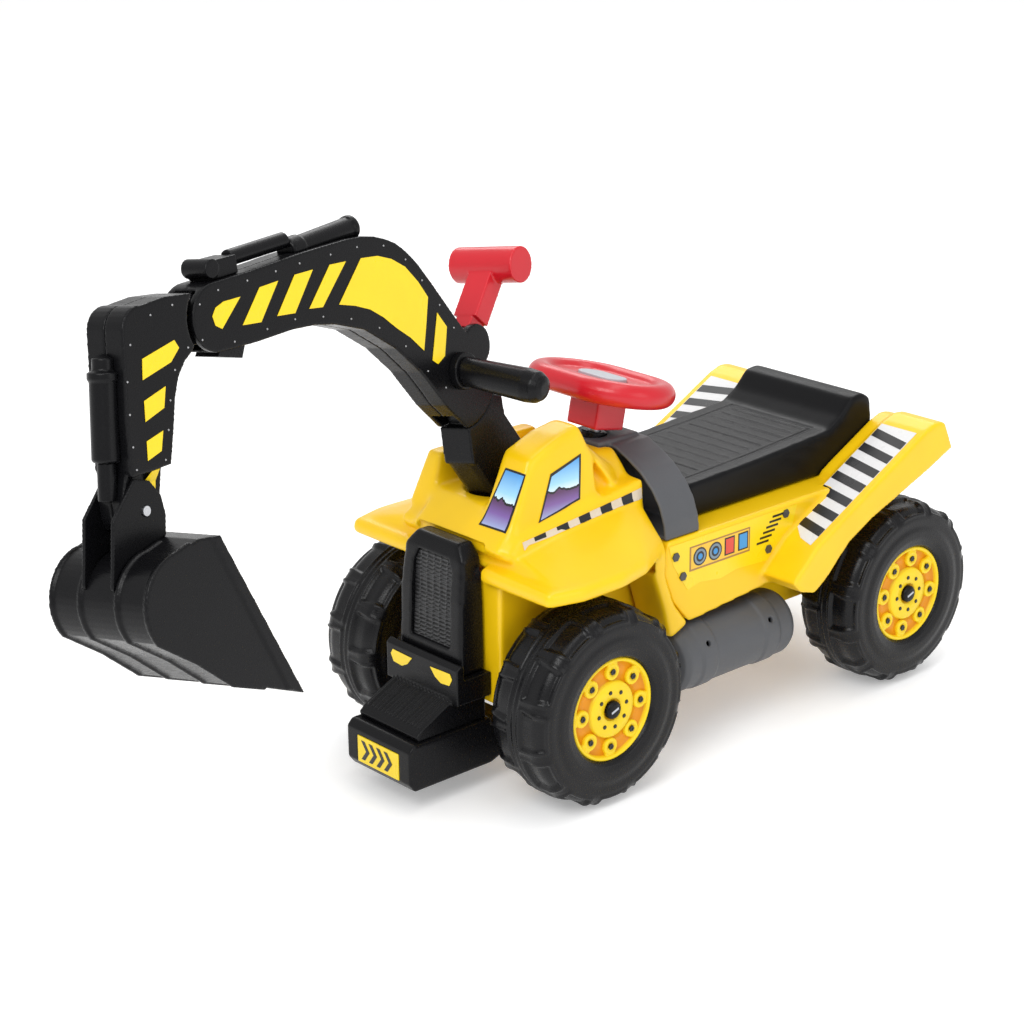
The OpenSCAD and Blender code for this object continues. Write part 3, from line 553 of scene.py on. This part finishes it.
def tyre_relief(around, across):
    """Height of the tread: framed pockets on both shoulders and a raised parting line."""
    pitch = 360 / LUGS
    k = (around + (pitch / 2 if across > 0 else 0)) % pitch - pitch / 2
    u = abs(math.radians(k)) * WHEEL_R / MM
    v = abs(across)
    half = 19.5 - 0.10 * (v - 8)
    inside = max(u - half, 8 - v, v - 39)
    h = -2.6 * smooth_step(-inside / 2.0) + 1.3 * math.exp(-((inside - 1.4) / 1.2) ** 2)
    if v < 5:
        h += 0.9 * math.exp(-(v / 1.2) ** 2) - 0.5 * math.exp(-((v - 3.2) / 1.0) ** 2)
    return h - 1.3


def build_tyre(side, end):
    half, r, s = TYRE_W / 2 / MM, WHEEL_R / MM, 17
    outer = [(BEAD_R, half - 7), (52, half - 2.5), (60, half - 0.3)]
    outer += arc(r - s, half - s, s, 90, 0, 14) + arc(r - s, -half + s, s, 0, -90, 14)
    outer += [(60, -half + 0.3), (52, -half + 2.5), (BEAD_R, -half + 7)]
    samples = resample([(a, b, 0) for a, b in outer], 110)
    total = samples[-1][1]
    verts = []
    for i, (p, d) in enumerate(samples):
        q = samples[min(i + 1, len(samples) - 1)][0] - samples[max(i - 1, 0)][0]
        out = Vector((-q.y, q.x, 0)).normalized()
        across = total / 2 - d
        for j in range(AROUND):
            t = 360 * j / AROUND
            h = tyre_relief(t, across) * smooth_step((60 - abs(across)) / 8)
            rr, xx = p.x + out.x * h, p.y + out.y * h
            a = math.radians(t)
            verts.append((xx * side, rr * math.cos(a), rr * math.sin(a)))
    faces = ring_faces(len(samples), AROUND)
    base = len(verts)
    for xx in (-half + 9, half - 9):
        for j in range(AROUND):
            a = 2 * math.pi * j / AROUND
            verts.append((xx * side, BEAD_R * math.cos(a), BEAD_R * math.sin(a)))
    last = (len(samples) - 1) * AROUND
    for a0, b0 in ((last, base), (base, base + AROUND), (base + AROUND, 0)):
        for j in range(AROUND):
            k = (j + 1) % AROUND
            faces.append((a0 + j, a0 + k, b0 + k, b0 + j))
    name = wheel_name(side, end)
    o = piece(name + "_tyre_skin", verts, faces, TYRE, name + "_wheel",
              wheel_place(name))
    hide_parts(name + "_tyre")


def disc_ring(profile, n, side):
    """A profile turned round the axle."""
    return lathe(profile, n, lambda y, z, h: (h * side, y, z))


def add_turned(verts, faces, profile, n, side, y0, z0):
    """Adds a small turned shape at a place on the hub's face."""
    base = len(verts)
    new_verts, new_faces = disc_ring(profile, n, side)
    verts += [(x, y + y0, z + z0) for x, y, z in new_verts]
    faces += [tuple(i + base for i in face) for face in new_faces]


def build_hub(side, end):
    """Wheel centre: rim, orange hollows, eight bosses with bolts and a raised middle."""
    name = wheel_name(side, end)
    body = name + "_wheel"
    place = wheel_place(name)
    turn = -0.03 if end < 0 else -0.14
    verts, faces = disc_ring(HUB_RIM + HUB_RIM[:1], HUB_STEPS, side)
    rings = [1 if i in HUB_ORANGE_RINGS else 0 for i in range(len(HUB_RIM))]
    o = piece(name + "_hub_disc", verts, faces, [HUB_YELLOW, HUB_ORANGE], body,
              place, face_mats=[ring for ring in rings for _ in range(HUB_STEPS)])
    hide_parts(name + "_hub")
    bosses, boss_faces = [], []
    bolts, bolt_faces = [], []
    for i in range(8):
        t = math.pi / 2 - i * math.pi / 4 + turn
        y, z = 36.8 * math.cos(t), 36.8 * math.sin(t)
        add_turned(bosses, boss_faces, BOSS, 32, side, y, z)
        add_turned(bosses, boss_faces, BOSS_FOOT, 24, side, 43.2 * math.cos(t), 43.2 * math.sin(t))
        add_turned(bolts, bolt_faces, BOLT, 6, side, y, z)
        add_turned(bolts, bolt_faces, STUD, 6, side,
                   17.6 * math.cos(t + 0.2), 17.6 * math.sin(t + 0.2))
    piece(name + "_hub_bosses", bosses, boss_faces, HUB_YELLOW, body, place)
    piece(name + "_hub_bolts", bolts, bolt_faces, INK_BLACK, body, place,
          smooth=False)


def build_caps():
    """Low push-on caps with a slot, one on each axle end."""
    caps, cap_faces = [], []
    slots, slot_faces = [], []
    for side in (-1, 1):
        for y in (-HALF_BASE, HALF_BASE):
            k = len(caps)
            v, f = lathe(CAP, 48,
                         lambda a, b, h: (side * (WHEEL_X + h), y + a, WHEEL_R / MM + b))
            caps += v
            cap_faces += [tuple(i + k for i in q) for q in f]
            k = len(slots)
            for a, b in ((-4.6, -1.0), (4.6, -1.0), (4.6, 1.0), (-4.6, 1.0)):
                c, d = a * 0.94 - b * 0.34, a * 0.34 + b * 0.94
                slots += [(side * (WHEEL_X + h), y + c, WHEEL_R / MM + d) for h in (35.7, 36.1)]
            slot_faces += [(k, k + 2, k + 4, k + 6), (k + 1, k + 3, k + 5, k + 7)]
            slot_faces += [(k + i, k + (i + 2) % 8, k + (i + 3) % 8, k + i + 1)
                           for i in (0, 2, 4, 6)]
    o = piece("axle_cap_skins", caps, cap_faces, BLACK, "chassis", MACHINE)
    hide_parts("axle_caps")
    piece("axle_cap_slots", slots, slot_faces, PALE, "chassis", MACHINE,
          smooth=False)


for end in (-1, 1):
    for side in (-1, 1):
        build_tyre(side, end)
        build_hub(side, end)
build_caps()


# ---------------------------------------------------------------- body and arm from the frame

# Each node with its material, voxel size in millimetres and rounds of smoothing.
for node, material, voxel, rounds in (
        ("body_shell", YELLOW, 1.8, 12), ("dash_cowl", GREY, 1.2, 12),
        ("grille_mesh", WOVEN, 0.8, 1), ("step_ramp", BLACK, 0.9, 3),
        ("front_bumper", BLACK, 1.1, 14), ("left_tank", GREY, 1.2, 4), ("right_tank", GREY, 1.2, 4),
        ("boom_base", BLACK, 1.1, 5), ("boom_left_shell", BLACK, 1.0, 5),
        ("boom_right_shell", BLACK, 1.0, 5), ("stick_left_shell", BLACK, 1.0, 5),
        ("stick_right_shell", BLACK, 1.0, 5), ("boom_cylinder", BLACK, 0.8, 3),
        ("boom_piston_rod", BLACK, 0.8, 2), ("boom_knuckle", BLACK, 0.8, 4),
        ("stick_cylinder", BLACK, 0.8, 3), ("stick_piston_rod", BLACK, 0.8, 2),
        ("side_handle", BLACK, 0.9, 4), ("handle_collar", BLACK, 0.8, 3), ("bucket", BLACK, 1.1, 3),
        ("bucket_fins", BLACK, 0.8, 3), ("red_lever", RED, 0.9, 6), ("lever_hub", BLACK, 0.8, 3),
        ("steering_wheel", RED, 1.1, 14), ("horn_button", PALE, 0.7, 4),
        ("swivel_socket", BLACK, 1.2, 2), ("column_bush", BLACK, 0.9, 2)):
    moulded(node, material, voxel, rounds)
plain("tip_stop", BLACK)
for node in ("front_axle", "rear_axle", "body_screws", "steering_column", "horn_spring",
             "post_clip", "hinge_pin", "elbow_pin", "boom_screws", "lever_pin", "crank_pins",
             "pull_rod", "stick_screws", "stick_link_pin", "bucket_pin"):
    plain(node, STEEL)
plain("bumper_label", INK_YELLOW)


# ---------------------------------------------------------------- hood

DECK = [(-108, -97), (-119, -115), (-139, -150), (-149, -190), (-150, -240), (-145, -257),
        (-140, -277), (140, -277), (145, -257), (150, -240), (149, -190), (139, -150),
        (119, -115), (108, -97)]


def deck(inset, z):
    """The fenders' outline drawn in by an inset, at one height."""
    k = 1 - inset / 150
    return [(x * k, -187 + (y + 187) * (1 - inset / 90), z) for x, y in DECK]


def swell(side):
    """One fender's crown: full in the middle, falling away to the lip."""
    crown = [(76, -258, 236), (76, -200, 246), (76, -120, 252), (76, -98, 250), (0, -258, 236),
             (0, -98, 250)]
    shoulder = [(112, -254, 227), (120, -225, 228), (118, -180, 230), (106, -140, 233),
                (96, -112, 236)]
    lip = [(141, -262, 219), (146, -235, 220), (144, -190, 221), (133, -150, 222),
           (112, -112, 222), (104, -99, 222), (0, -262, 219), (0, -99, 219)]
    return [(x * side, y, z) for x, y, z in crown + shoulder + lip]


def leg(side):
    """The wall behind a front wheel, in four steps down."""
    front = [(-122, 210), (-114, 184), (-102, 152), (-94, 122), (-91, 117)]
    back = [(-97.5, 210), (-98.2, 184), (-85.8, 152), (-66, 127), (-87.5, 118)]
    return [[(x * side, y, z) for x in (66, 112)
             for y, z in (front[i], front[i + 1], back[i], back[i + 1])] for i in range(4)]


def build_hood():
    post = Matrix.Translation(POST_AT) @ Matrix.Rotation(math.radians(POST_LEAN), 4, "X")
    column = Matrix.Translation(COLUMN_AT) @ Matrix.Rotation(math.radians(COLUMN_LEAN), 4, "X")
    lip = deck(1.5, 205.5) + deck(0.5, 210) + deck(1.5, 221)
    spine = (boxed(-76, 76, -266, -92, 230, 240)
             + [(x, y, z) for x in (-74, 74) for y, z in ((-248, 250), (-170, 259), (-92, 271))])
    nose = boxed(-52, 68, -272, -150, 236, 240) + boxed(-50, 64, -243, -150, 262, 268)
    cowl_foot = boxed(-58, 58, -170, -92, 258, 264) + [
        (-50, -92, 276), (50, -92, 276), (-34, -92, 292), (34, -92, 292), (-34, -160, 300),
        (34, -160, 300)]
    cab = [(25, -260, 246), (69, -259, 246), (24, -146, 262), (69, -146, 262), (24, -227, 317),
           (61, -226, 315), (24, -190, 331), (60, -188, 330), (26, -163, 336), (59, -162, 335),
           (30, -146, 318), (62, -146, 300)]
    cab_back = [(30, -165, 330), (58, -165, 326), (28, -120, 292), (50, -110, 280),
                (66, -120, 262), (30, -110, 262)]
    far_block = boxed(-82, -50, -252, -104, 244, 248) + [
        (-72, -236, 298), (-52, -236, 298), (-72, -112, 298), (-52, -112, 298)]
    socket = round_bar(40, -34, 2, post)
    solid = hulls([lip, spine, nose, cowl_foot, cab, cab_back, far_block, socket, swell(1),
                   swell(-1)] + leg(1) + leg(-1))
    cut = evaluated(hulls([
        round_bar(36, 0.5, 150, post), round_bar(33.4, -60, 4, post),
        round_bar(38, -60, -36.5, post), round_bar(18, -110, -30, column),
        boxed(-47.5, 47.5, -310, -265.5, 190, 242),
        boxed(-27, 27, -107, -40, 287, 310),
        deck(6, 190) + deck(6, 216),
        boxed(-72, 72, -246, -96, 190, 238),
    ]), [("REMESH", dict(mode="VOXEL", voxel_size=2.0))])
    rounded = evaluated(solid, skin_steps(2.0, 44))
    made = evaluated(rounded, [
        ("BOOLEAN", dict(operation="DIFFERENCE", solver="MANIFOLD", cutter=cut)),
        *skin_steps(1.5, 5)])
    made.transform(MACHINE)
    finished("hood_skin", made, YELLOW, "chassis", "hood_shell")


build_hood()


# ---------------------------------------------------------------- grille and seat

def build_grille():
    """The radiator housing: rounded all over, with a recess for the mesh."""
    block = []
    for half, front, z in ((45, -298, 118.5), (43.5, -295.5, 190), (41, -291, 228),
                           (30, -286, 241.5)):
        block += [(x, y, z) for x in (-half, half) for y in (front, -267.5)]
    corners = ((-28, 141), (28, 141), (27, 214), (-27, 214), (-21, 226), (21, 226))
    window = hulls([[(x, y, z) for x, z in corners for y in (-310, -284)]])
    made = evaluated(hulls([block]), skin_steps(1.5, 34))
    made = evaluated(made, [
        ("BOOLEAN", dict(operation="DIFFERENCE", solver="MANIFOLD", cutter=window)),
        *skin_steps(1.2, 5)])
    made.transform(MACHINE)
    finished("grille_skin", made, BLACK, "chassis", "grille_panel")


def seat_groove(x, y):
    """Depth of the seat's border line and of its lines across."""
    border = max(abs(x) - 58 + 0.02 * (y - 30), -28 - y, y - 166)
    depth = 1.3 * math.exp(-(border / 1.3) ** 2)
    if border < -4:
        k = (y + 20) % 15.5 - 7.75
        depth += 1.2 * math.exp(-(k / 1.2) ** 2) * smooth_step((-border - 4) / 6)
    return depth


def build_seat():
    """The seat: a hull for each length of its profile, rounded, with pressed grooves."""
    low = 214.4
    top = [(237, 262), (234, 282), (222, 289), (206, 287), (190, 271), (172, 260), (110, 256),
           (60, 253), (-30, 250), (-45, 243)]
    strips = []
    for a, b in zip(top, top[1:]):
        for side in (-1, 1):
            strips.append([(x * side, y, z) for x in (0, 75)
                           for y, z in (a, b, (a[0] - 2, low), (b[0], low))])
    made = evaluated(hulls(strips), skin_steps(1.7, 36))
    made = evaluated(made, skin_steps(1.35, 2))
    upright = [v.normal.z for v in made.vertices]
    for v, n in zip(made.vertices, upright):
        if n > 0.6:
            v.co.z -= seat_groove(v.co.x, v.co.y)
    made.transform(MACHINE)
    finished("seat_skin", made, SEAT, "chassis", "seat")


build_grille()
build_seat()


# ---------------------------------------------------------------- labels on the body

def side_plane(base, x, flip):
    """Matrix from (Y, Z) on an upright plane at x, mirrored by the flip."""
    return base @ Matrix(((0, 0, flip, x * flip), (1, 0, 0, 0), (0, 1, 0, 0), (0, 0, 0, 1)))


def front_plane(y):
    """Matrix from (X, Z) on an upright plane that faces forward."""
    return MACHINE @ Matrix(((1, 0, 0, 0), (0, 0, -1, y), (0, 1, 0, 0), (0, 0, 0, 1)))


def sloped(side, y, z, rise, run):
    """A plane that rises back or forward, its second direction along (run, rise) in Y and Z."""
    k = math.hypot(rise, run)
    return MACHINE @ Matrix(((side, 0, 0, 0), (0, run / k, -rise / k, y),
                             (0, rise / k, run / k, z), (0, 0, 0, 1)))


def ring_of(y, z, r, n):
    turns = [t * 2 * math.pi / n for t in range(n)]
    return [(y + r * math.cos(t), z + r * math.sin(t)) for t in turns]


def oblong(y0, y1, z0, z1):
    return [(y0, z1), (y1, z1), (y1, z0), (y0, z0)]


def check_stripe(flip, tag):
    """Beige and black checks along the hood, between a low and a high line."""
    y0, y1 = -248, -96
    low, high = (236.5, 252), (246, 262.5)
    cells = 11
    for i, (a, b) in enumerate([(0, cells)] + [(i, i + 1) for i in range(1, cells, 2)]):
        a, b = a / cells, b / cells
        quad = [(y0 + (y1 - y0) * t, e[0] + (e[1] - e[0]) * t)
                for t, e in ((a, low), (b, low), (b, high), (a, high))]
        cut_sheet(quad, 6, WRAP, side_plane(MACHINE, HOOD_X, flip), f"check_{tag}_{i}",
                  INK_BLACK if i else INK_BEIGE, "chassis", HOOD, 0.45 if i else 0.25)


def fender_print(flip, tag):
    """A white band with seven slanted black bars on the rear fender."""
    band = sloped(flip, 70, 179, 84, 162)
    cut_sheet([(97, 30), (124, 6), (141, 1), (142, 176), (97, 176)], 8, PRINT, band,
              f"fender_band_{tag}", INK_WHITE, "chassis")
    for i in range(7):
        v = 22 + i * 22.5
        left = 97.5 if i else 106
        cut_sheet([(left, v), (141, v - 8), (141, v + 3), (left, v + 11)], 8, PRINT, band,
                  f"fender_bar_{tag}_{i}", INK_BLACK, "chassis", lift=0.55)


def panel_print(flip, tag):
    """The side panel's print: a framed plate with gauges and keys, vents and bolts."""
    def lay(outline, step, name, ink, lift, thickness=PRINT):
        cut_sheet(outline, step, thickness, side_plane(MACHINE, PANEL_X, flip), name, ink,
                  "chassis", lift=lift)

    lay([(-92, 210), (88, 210), (72, 160), (2, 164), (-20, 160), (-49, 164), (-66, 160),
         (-86, 190)], 10, f"panel_print_{tag}", INK_YELLOW, 0.15)
    lay(oblong(-64, 20, 178, 203), 10, f"panel_frame_{tag}", INK_BROWN, 0.35)
    lay(oblong(-62, 18, 180, 201.5), 10, f"panel_plate_{tag}", INK_GOLD, 0.5)
    for i, y in enumerate((-50, -29)):
        for r, ink, lift in ((9.2, INK_BLACK, 0.65), (7.6, INK_STEEL, 0.8),
                             (5.2, INK_BLACK, 0.95), (3.0, INK_BLUE, 1.1)):
            lay(ring_of(y, 190.5, r, 24), 0, f"gauge_{tag}_{i}_{int(r * 10)}", ink, lift)
    for i, (y, ink) in enumerate(((-9, INK_RED), (10, INK_BLUE))):
        lay(oblong(y - 7, y + 7, 182, 200), 0, f"key_edge_{tag}_{i}", INK_BLACK, 0.65)
        lay(oblong(y - 5.4, y + 5.4, 183.5, 198.5), 0, f"key_{tag}_{i}", ink, 0.85)
    for i in range(6):
        y, z = 30 + 4.4 * i, 181 + 4.6 * i
        lay([(y, z), (y + 17, z), (y + 17, z + 2.2), (y, z + 2.2)], 0, f"vent_{tag}_{i}",
            INK_BLACK, 0.4)
    for i, (y, z) in enumerate(((-83, 198), (-73, 176), (71, 204), (47, 173))):
        lay(ring_of(y, z, 4.6, 6), 0, f"panel_bolt_{tag}_{i}", RIVET_DARK, 0.3, thickness=1.4)


def window_print():
    """Printed windows on the small cab's front and outer side."""
    front = sloped(1, -259, 246, 69, 33)
    side = side_plane(MACHINE, CAB_X, 1)
    for plane, name, edge, pane in (
            (front, "window_front", [(27, 6), (62, 7), (62, 64), (36, 64)],
             [(29.5, 8.2), (60, 9), (60, 62), (37.5, 62)]),
            (side, "window_side", [(-223, 254), (-170, 266), (-164, 309), (-203, 298)],
             [(-220, 257), (-172, 268), (-167, 306), (-202, 295.5)])):
        cut_sheet(edge, 6, WRAP, plane, name + "_edge", INK_BLACK, "chassis", HOOD)
        cut_sheet(pane, 6, WRAP, plane, name, WINDOW, "chassis", HOOD, 0.45)


def front_print():
    """Lamps on the step's foot and chevrons on the bumper's label."""
    for side in (-1, 1):
        lamp = [(13, 123), (41, 124), (44, 119), (40, 112), (28, 111), (20, 115)]
        cut_sheet([(x * side, z) for x, z in lamp], 5, 0.3, front_plane(-306),
                  f"lamp_print_{'left' if side > 0 else 'right'}", INK_YELLOW, "chassis",
                  NODES["step_ramp"])
    for i in range(4):
        x = -20 + i * 11
        cut_sheet([(x - 4, 34), (x + 1, 34), (x + 8, 43.5), (x + 1, 53), (x - 4, 53),
                   (x + 3, 43.5)], 0, PRINT, front_plane(-362.6), f"label_chevron_{i}",
                  INK_BLACK, "chassis", NODES["bumper_label"], 0.1)


HOOD = bpy.data.objects["hood_skin"]
for flip, tag in ((1, "left"), (-1, "right")):
    check_stripe(flip, tag)
    fender_print(flip, tag)
    panel_print(flip, tag)
window_print()
front_print()


# ---------------------------------------------------------------- labels and rivets on the arm

def rivets(name, points, matrix, body):
    """Small domes pressed into a face, at points given in its own plane, coloured light grey as a
    painted highlight.
    """
    n, radius = 10, 0.9
    verts, faces = [], []
    for u, v in points:
        base = len(verts)
        for rise in (0, 25, 50, 75):
            r, h = radius * math.cos(math.radians(rise)), radius * math.sin(math.radians(rise))
            turns = [t * 2 * math.pi / n for t in range(n)]
            verts += [(u + r * math.cos(t), v + r * math.sin(t), h + 0.15) for t in turns]
        faces += [tuple(base + k for k in face) for face in ring_faces(4, n)]
        faces.append(tuple(base + 3 * n + j for j in range(n)))
        faces.append(tuple(base + j for j in range(n)))
    piece(name, verts, faces, RIVET_HIGHLIGHT, body, matrix)


BOOM_LABELS = [
    ("tip", [(-551, 500), (-546, 506), (-536, 509), (-516, 509), (-542, 488), (-549, 492)]),
    ("bar_a", [(-492, 512), (-469, 513), (-496, 484), (-518, 486)]),
    ("bar_b", [(-448, 514), (-425, 514), (-454, 483), (-476, 485)]),
    ("bar_c", [(-403, 514), (-382, 513), (-419, 481), (-436, 483)]),
    ("panel", [(-362, 512), (-340, 510), (-322, 504), (-305, 494), (-290, 478), (-279, 462),
               (-286, 440), (-294, 417), (-310, 432), (-327, 444), (-343, 457), (-359, 467),
               (-378, 474), (-398, 479)]),
    ("wedge", [(-269, 446), (-258, 431), (-262, 418), (-266, 406), (-277, 401), (-284, 406)]),
]
STICK_LABELS = [
    ("bar_a", [(-636, 484), (-599, 491), (-595, 484), (-606, 475), (-639, 468)]),
    ("bar_b", [(-641, 452), (-616, 458), (-621, 442), (-643, 436)]),
    ("bar_c", [(-645, 421), (-626, 425), (-631, 410), (-647, 406)]),
    ("bar_d", [(-648, 390), (-635, 394), (-638, 380), (-652, 374)]),
]
BOOM_RIVETS = [(-563, 512), (-566, 484), (-540, 519), (-505, 520), (-470, 521), (-440, 522),
               (-400, 522), (-365, 522), (-330, 517), (-303, 500), (-284, 478), (-264, 452),
               (-248, 428), (-530, 475), (-490, 477), (-455, 478), (-420, 473), (-385, 464),
               (-350, 449), (-318, 426), (-292, 398), (-270, 378)]
STICK_RIVETS = [(-646, 497), (-620, 515), (-595, 518), (-585, 482), (-603, 468), (-613, 446),
                (-620, 424), (-628, 402), (-655, 470), (-658, 445), (-660, 420), (-660, 402)]
for flip, tag in ((1, "left"), (-1, "right")):
    for body, x, labels, dots in (("boom", BOOM_X, BOOM_LABELS, BOOM_RIVETS),
                                  ("stick", STICK_X, STICK_LABELS, STICK_RIVETS)):
        face = side_plane(ARM, x, flip)
        for label, outline in labels:
            cut_sheet(outline, 9, 0.3, face, f"{body}_label_{tag}_{label}", INK_YELLOW, body,
                      NODES[f"{body}_{tag}_shell"])
        rivets(f"{body}_rivets_{tag}", dots, face, body)


# ---------------------------------------------------------------- stage, light and camera

def area(name, at, size, power):
    """A soft light that faces the middle of the machine."""
    light = bpy.data.lights.new(name, "AREA")
    light.shape = "RECTANGLE"
    light.size, light.size_y = size
    light.energy = power
    o = bpy.data.objects.new(name, light)
    o.location = at
    o.rotation_euler = (Vector((0, 0, 0.25)) - Vector(at)).to_track_quat("-Z", "Y").to_euler()
    bpy.context.scene.collection.objects.link(o)


def floor():
    """Pale paper, lit a little by itself so that it stays even."""
    m, nt, shader = new_material("floor_paper")
    fibres = speckle(nt, object_space(nt), 60, 2)
    base = ramp(nt, fibres, [(0.3, (0.86, 0.86, 0.86)), (0.7, (0.89, 0.89, 0.89))])
    feed(nt, shader.inputs["Base Color"], base)
    shader.inputs["Roughness"].default_value = 0.6
    shader.inputs["Emission Color"].default_value = (1, 1, 1, 1)
    shader.inputs["Emission Strength"].default_value = 0.28
    mesh = bpy.data.meshes.new("floor")
    s = 12
    mesh.from_pydata([(-s, -s, 0), (s, -s, 0), (s, s, 0), (-s, s, 0)], [], [(0, 1, 2, 3)])
    mesh.materials.append(m)
    o = bpy.data.objects.new("floor", mesh)
    bpy.context.scene.collection.objects.link(o)


floor()
world = bpy.data.worlds.new("studio")
world.use_nodes = True
sky = world.node_tree.nodes["Background"]
sky.inputs["Color"].default_value = (1.0, 1.0, 1.0, 1)
sky.inputs["Strength"].default_value = 0.8
bpy.context.scene.world = world
area("key", (0.9, -1.9, 2.2), (1.6, 1.2), 34)
area("fill", (2.6, 0.4, 1.3), (1.4, 1.6), 9)
area("back", (-1.6, 1.6, 1.9), (1.8, 1.0), 18)
area("strip", (0.3, 0.2, 2.6), (2.4, 0.5), 12)

scene = bpy.context.scene
scene.view_settings.view_transform = "Standard"


def camera():
    """The camera, given by its direction, roll and place in millimetres."""
    azimuth, elevation, roll = (math.radians(a) for a in (48.187, 19.574, -0.58))
    level = math.cos(elevation)
    back = Vector((math.sin(azimuth) * level, -math.cos(azimuth) * level, math.sin(elevation)))
    right = Vector((math.cos(azimuth), math.sin(azimuth), 0))
    up = back.cross(right)
    side = math.cos(roll) * right + math.sin(roll) * up
    top = -math.sin(roll) * right + math.cos(roll) * up
    at = MACHINE @ Vector((1596, -1621, 1004))
    data = bpy.data.cameras.new("camera")
    data.lens = 85.07
    data.sensor_width = 36
    data.clip_start, data.clip_end = 0.05, 60
    o = bpy.data.objects.new("camera", data)
    o.matrix_world = Matrix(((side.x, top.x, back.x, at.x), (side.y, top.y, back.y, at.y),
                             (side.z, top.z, back.z, at.z), (0, 0, 0, 1)))
    scene.collection.objects.link(o)
    scene.camera = o


camera()
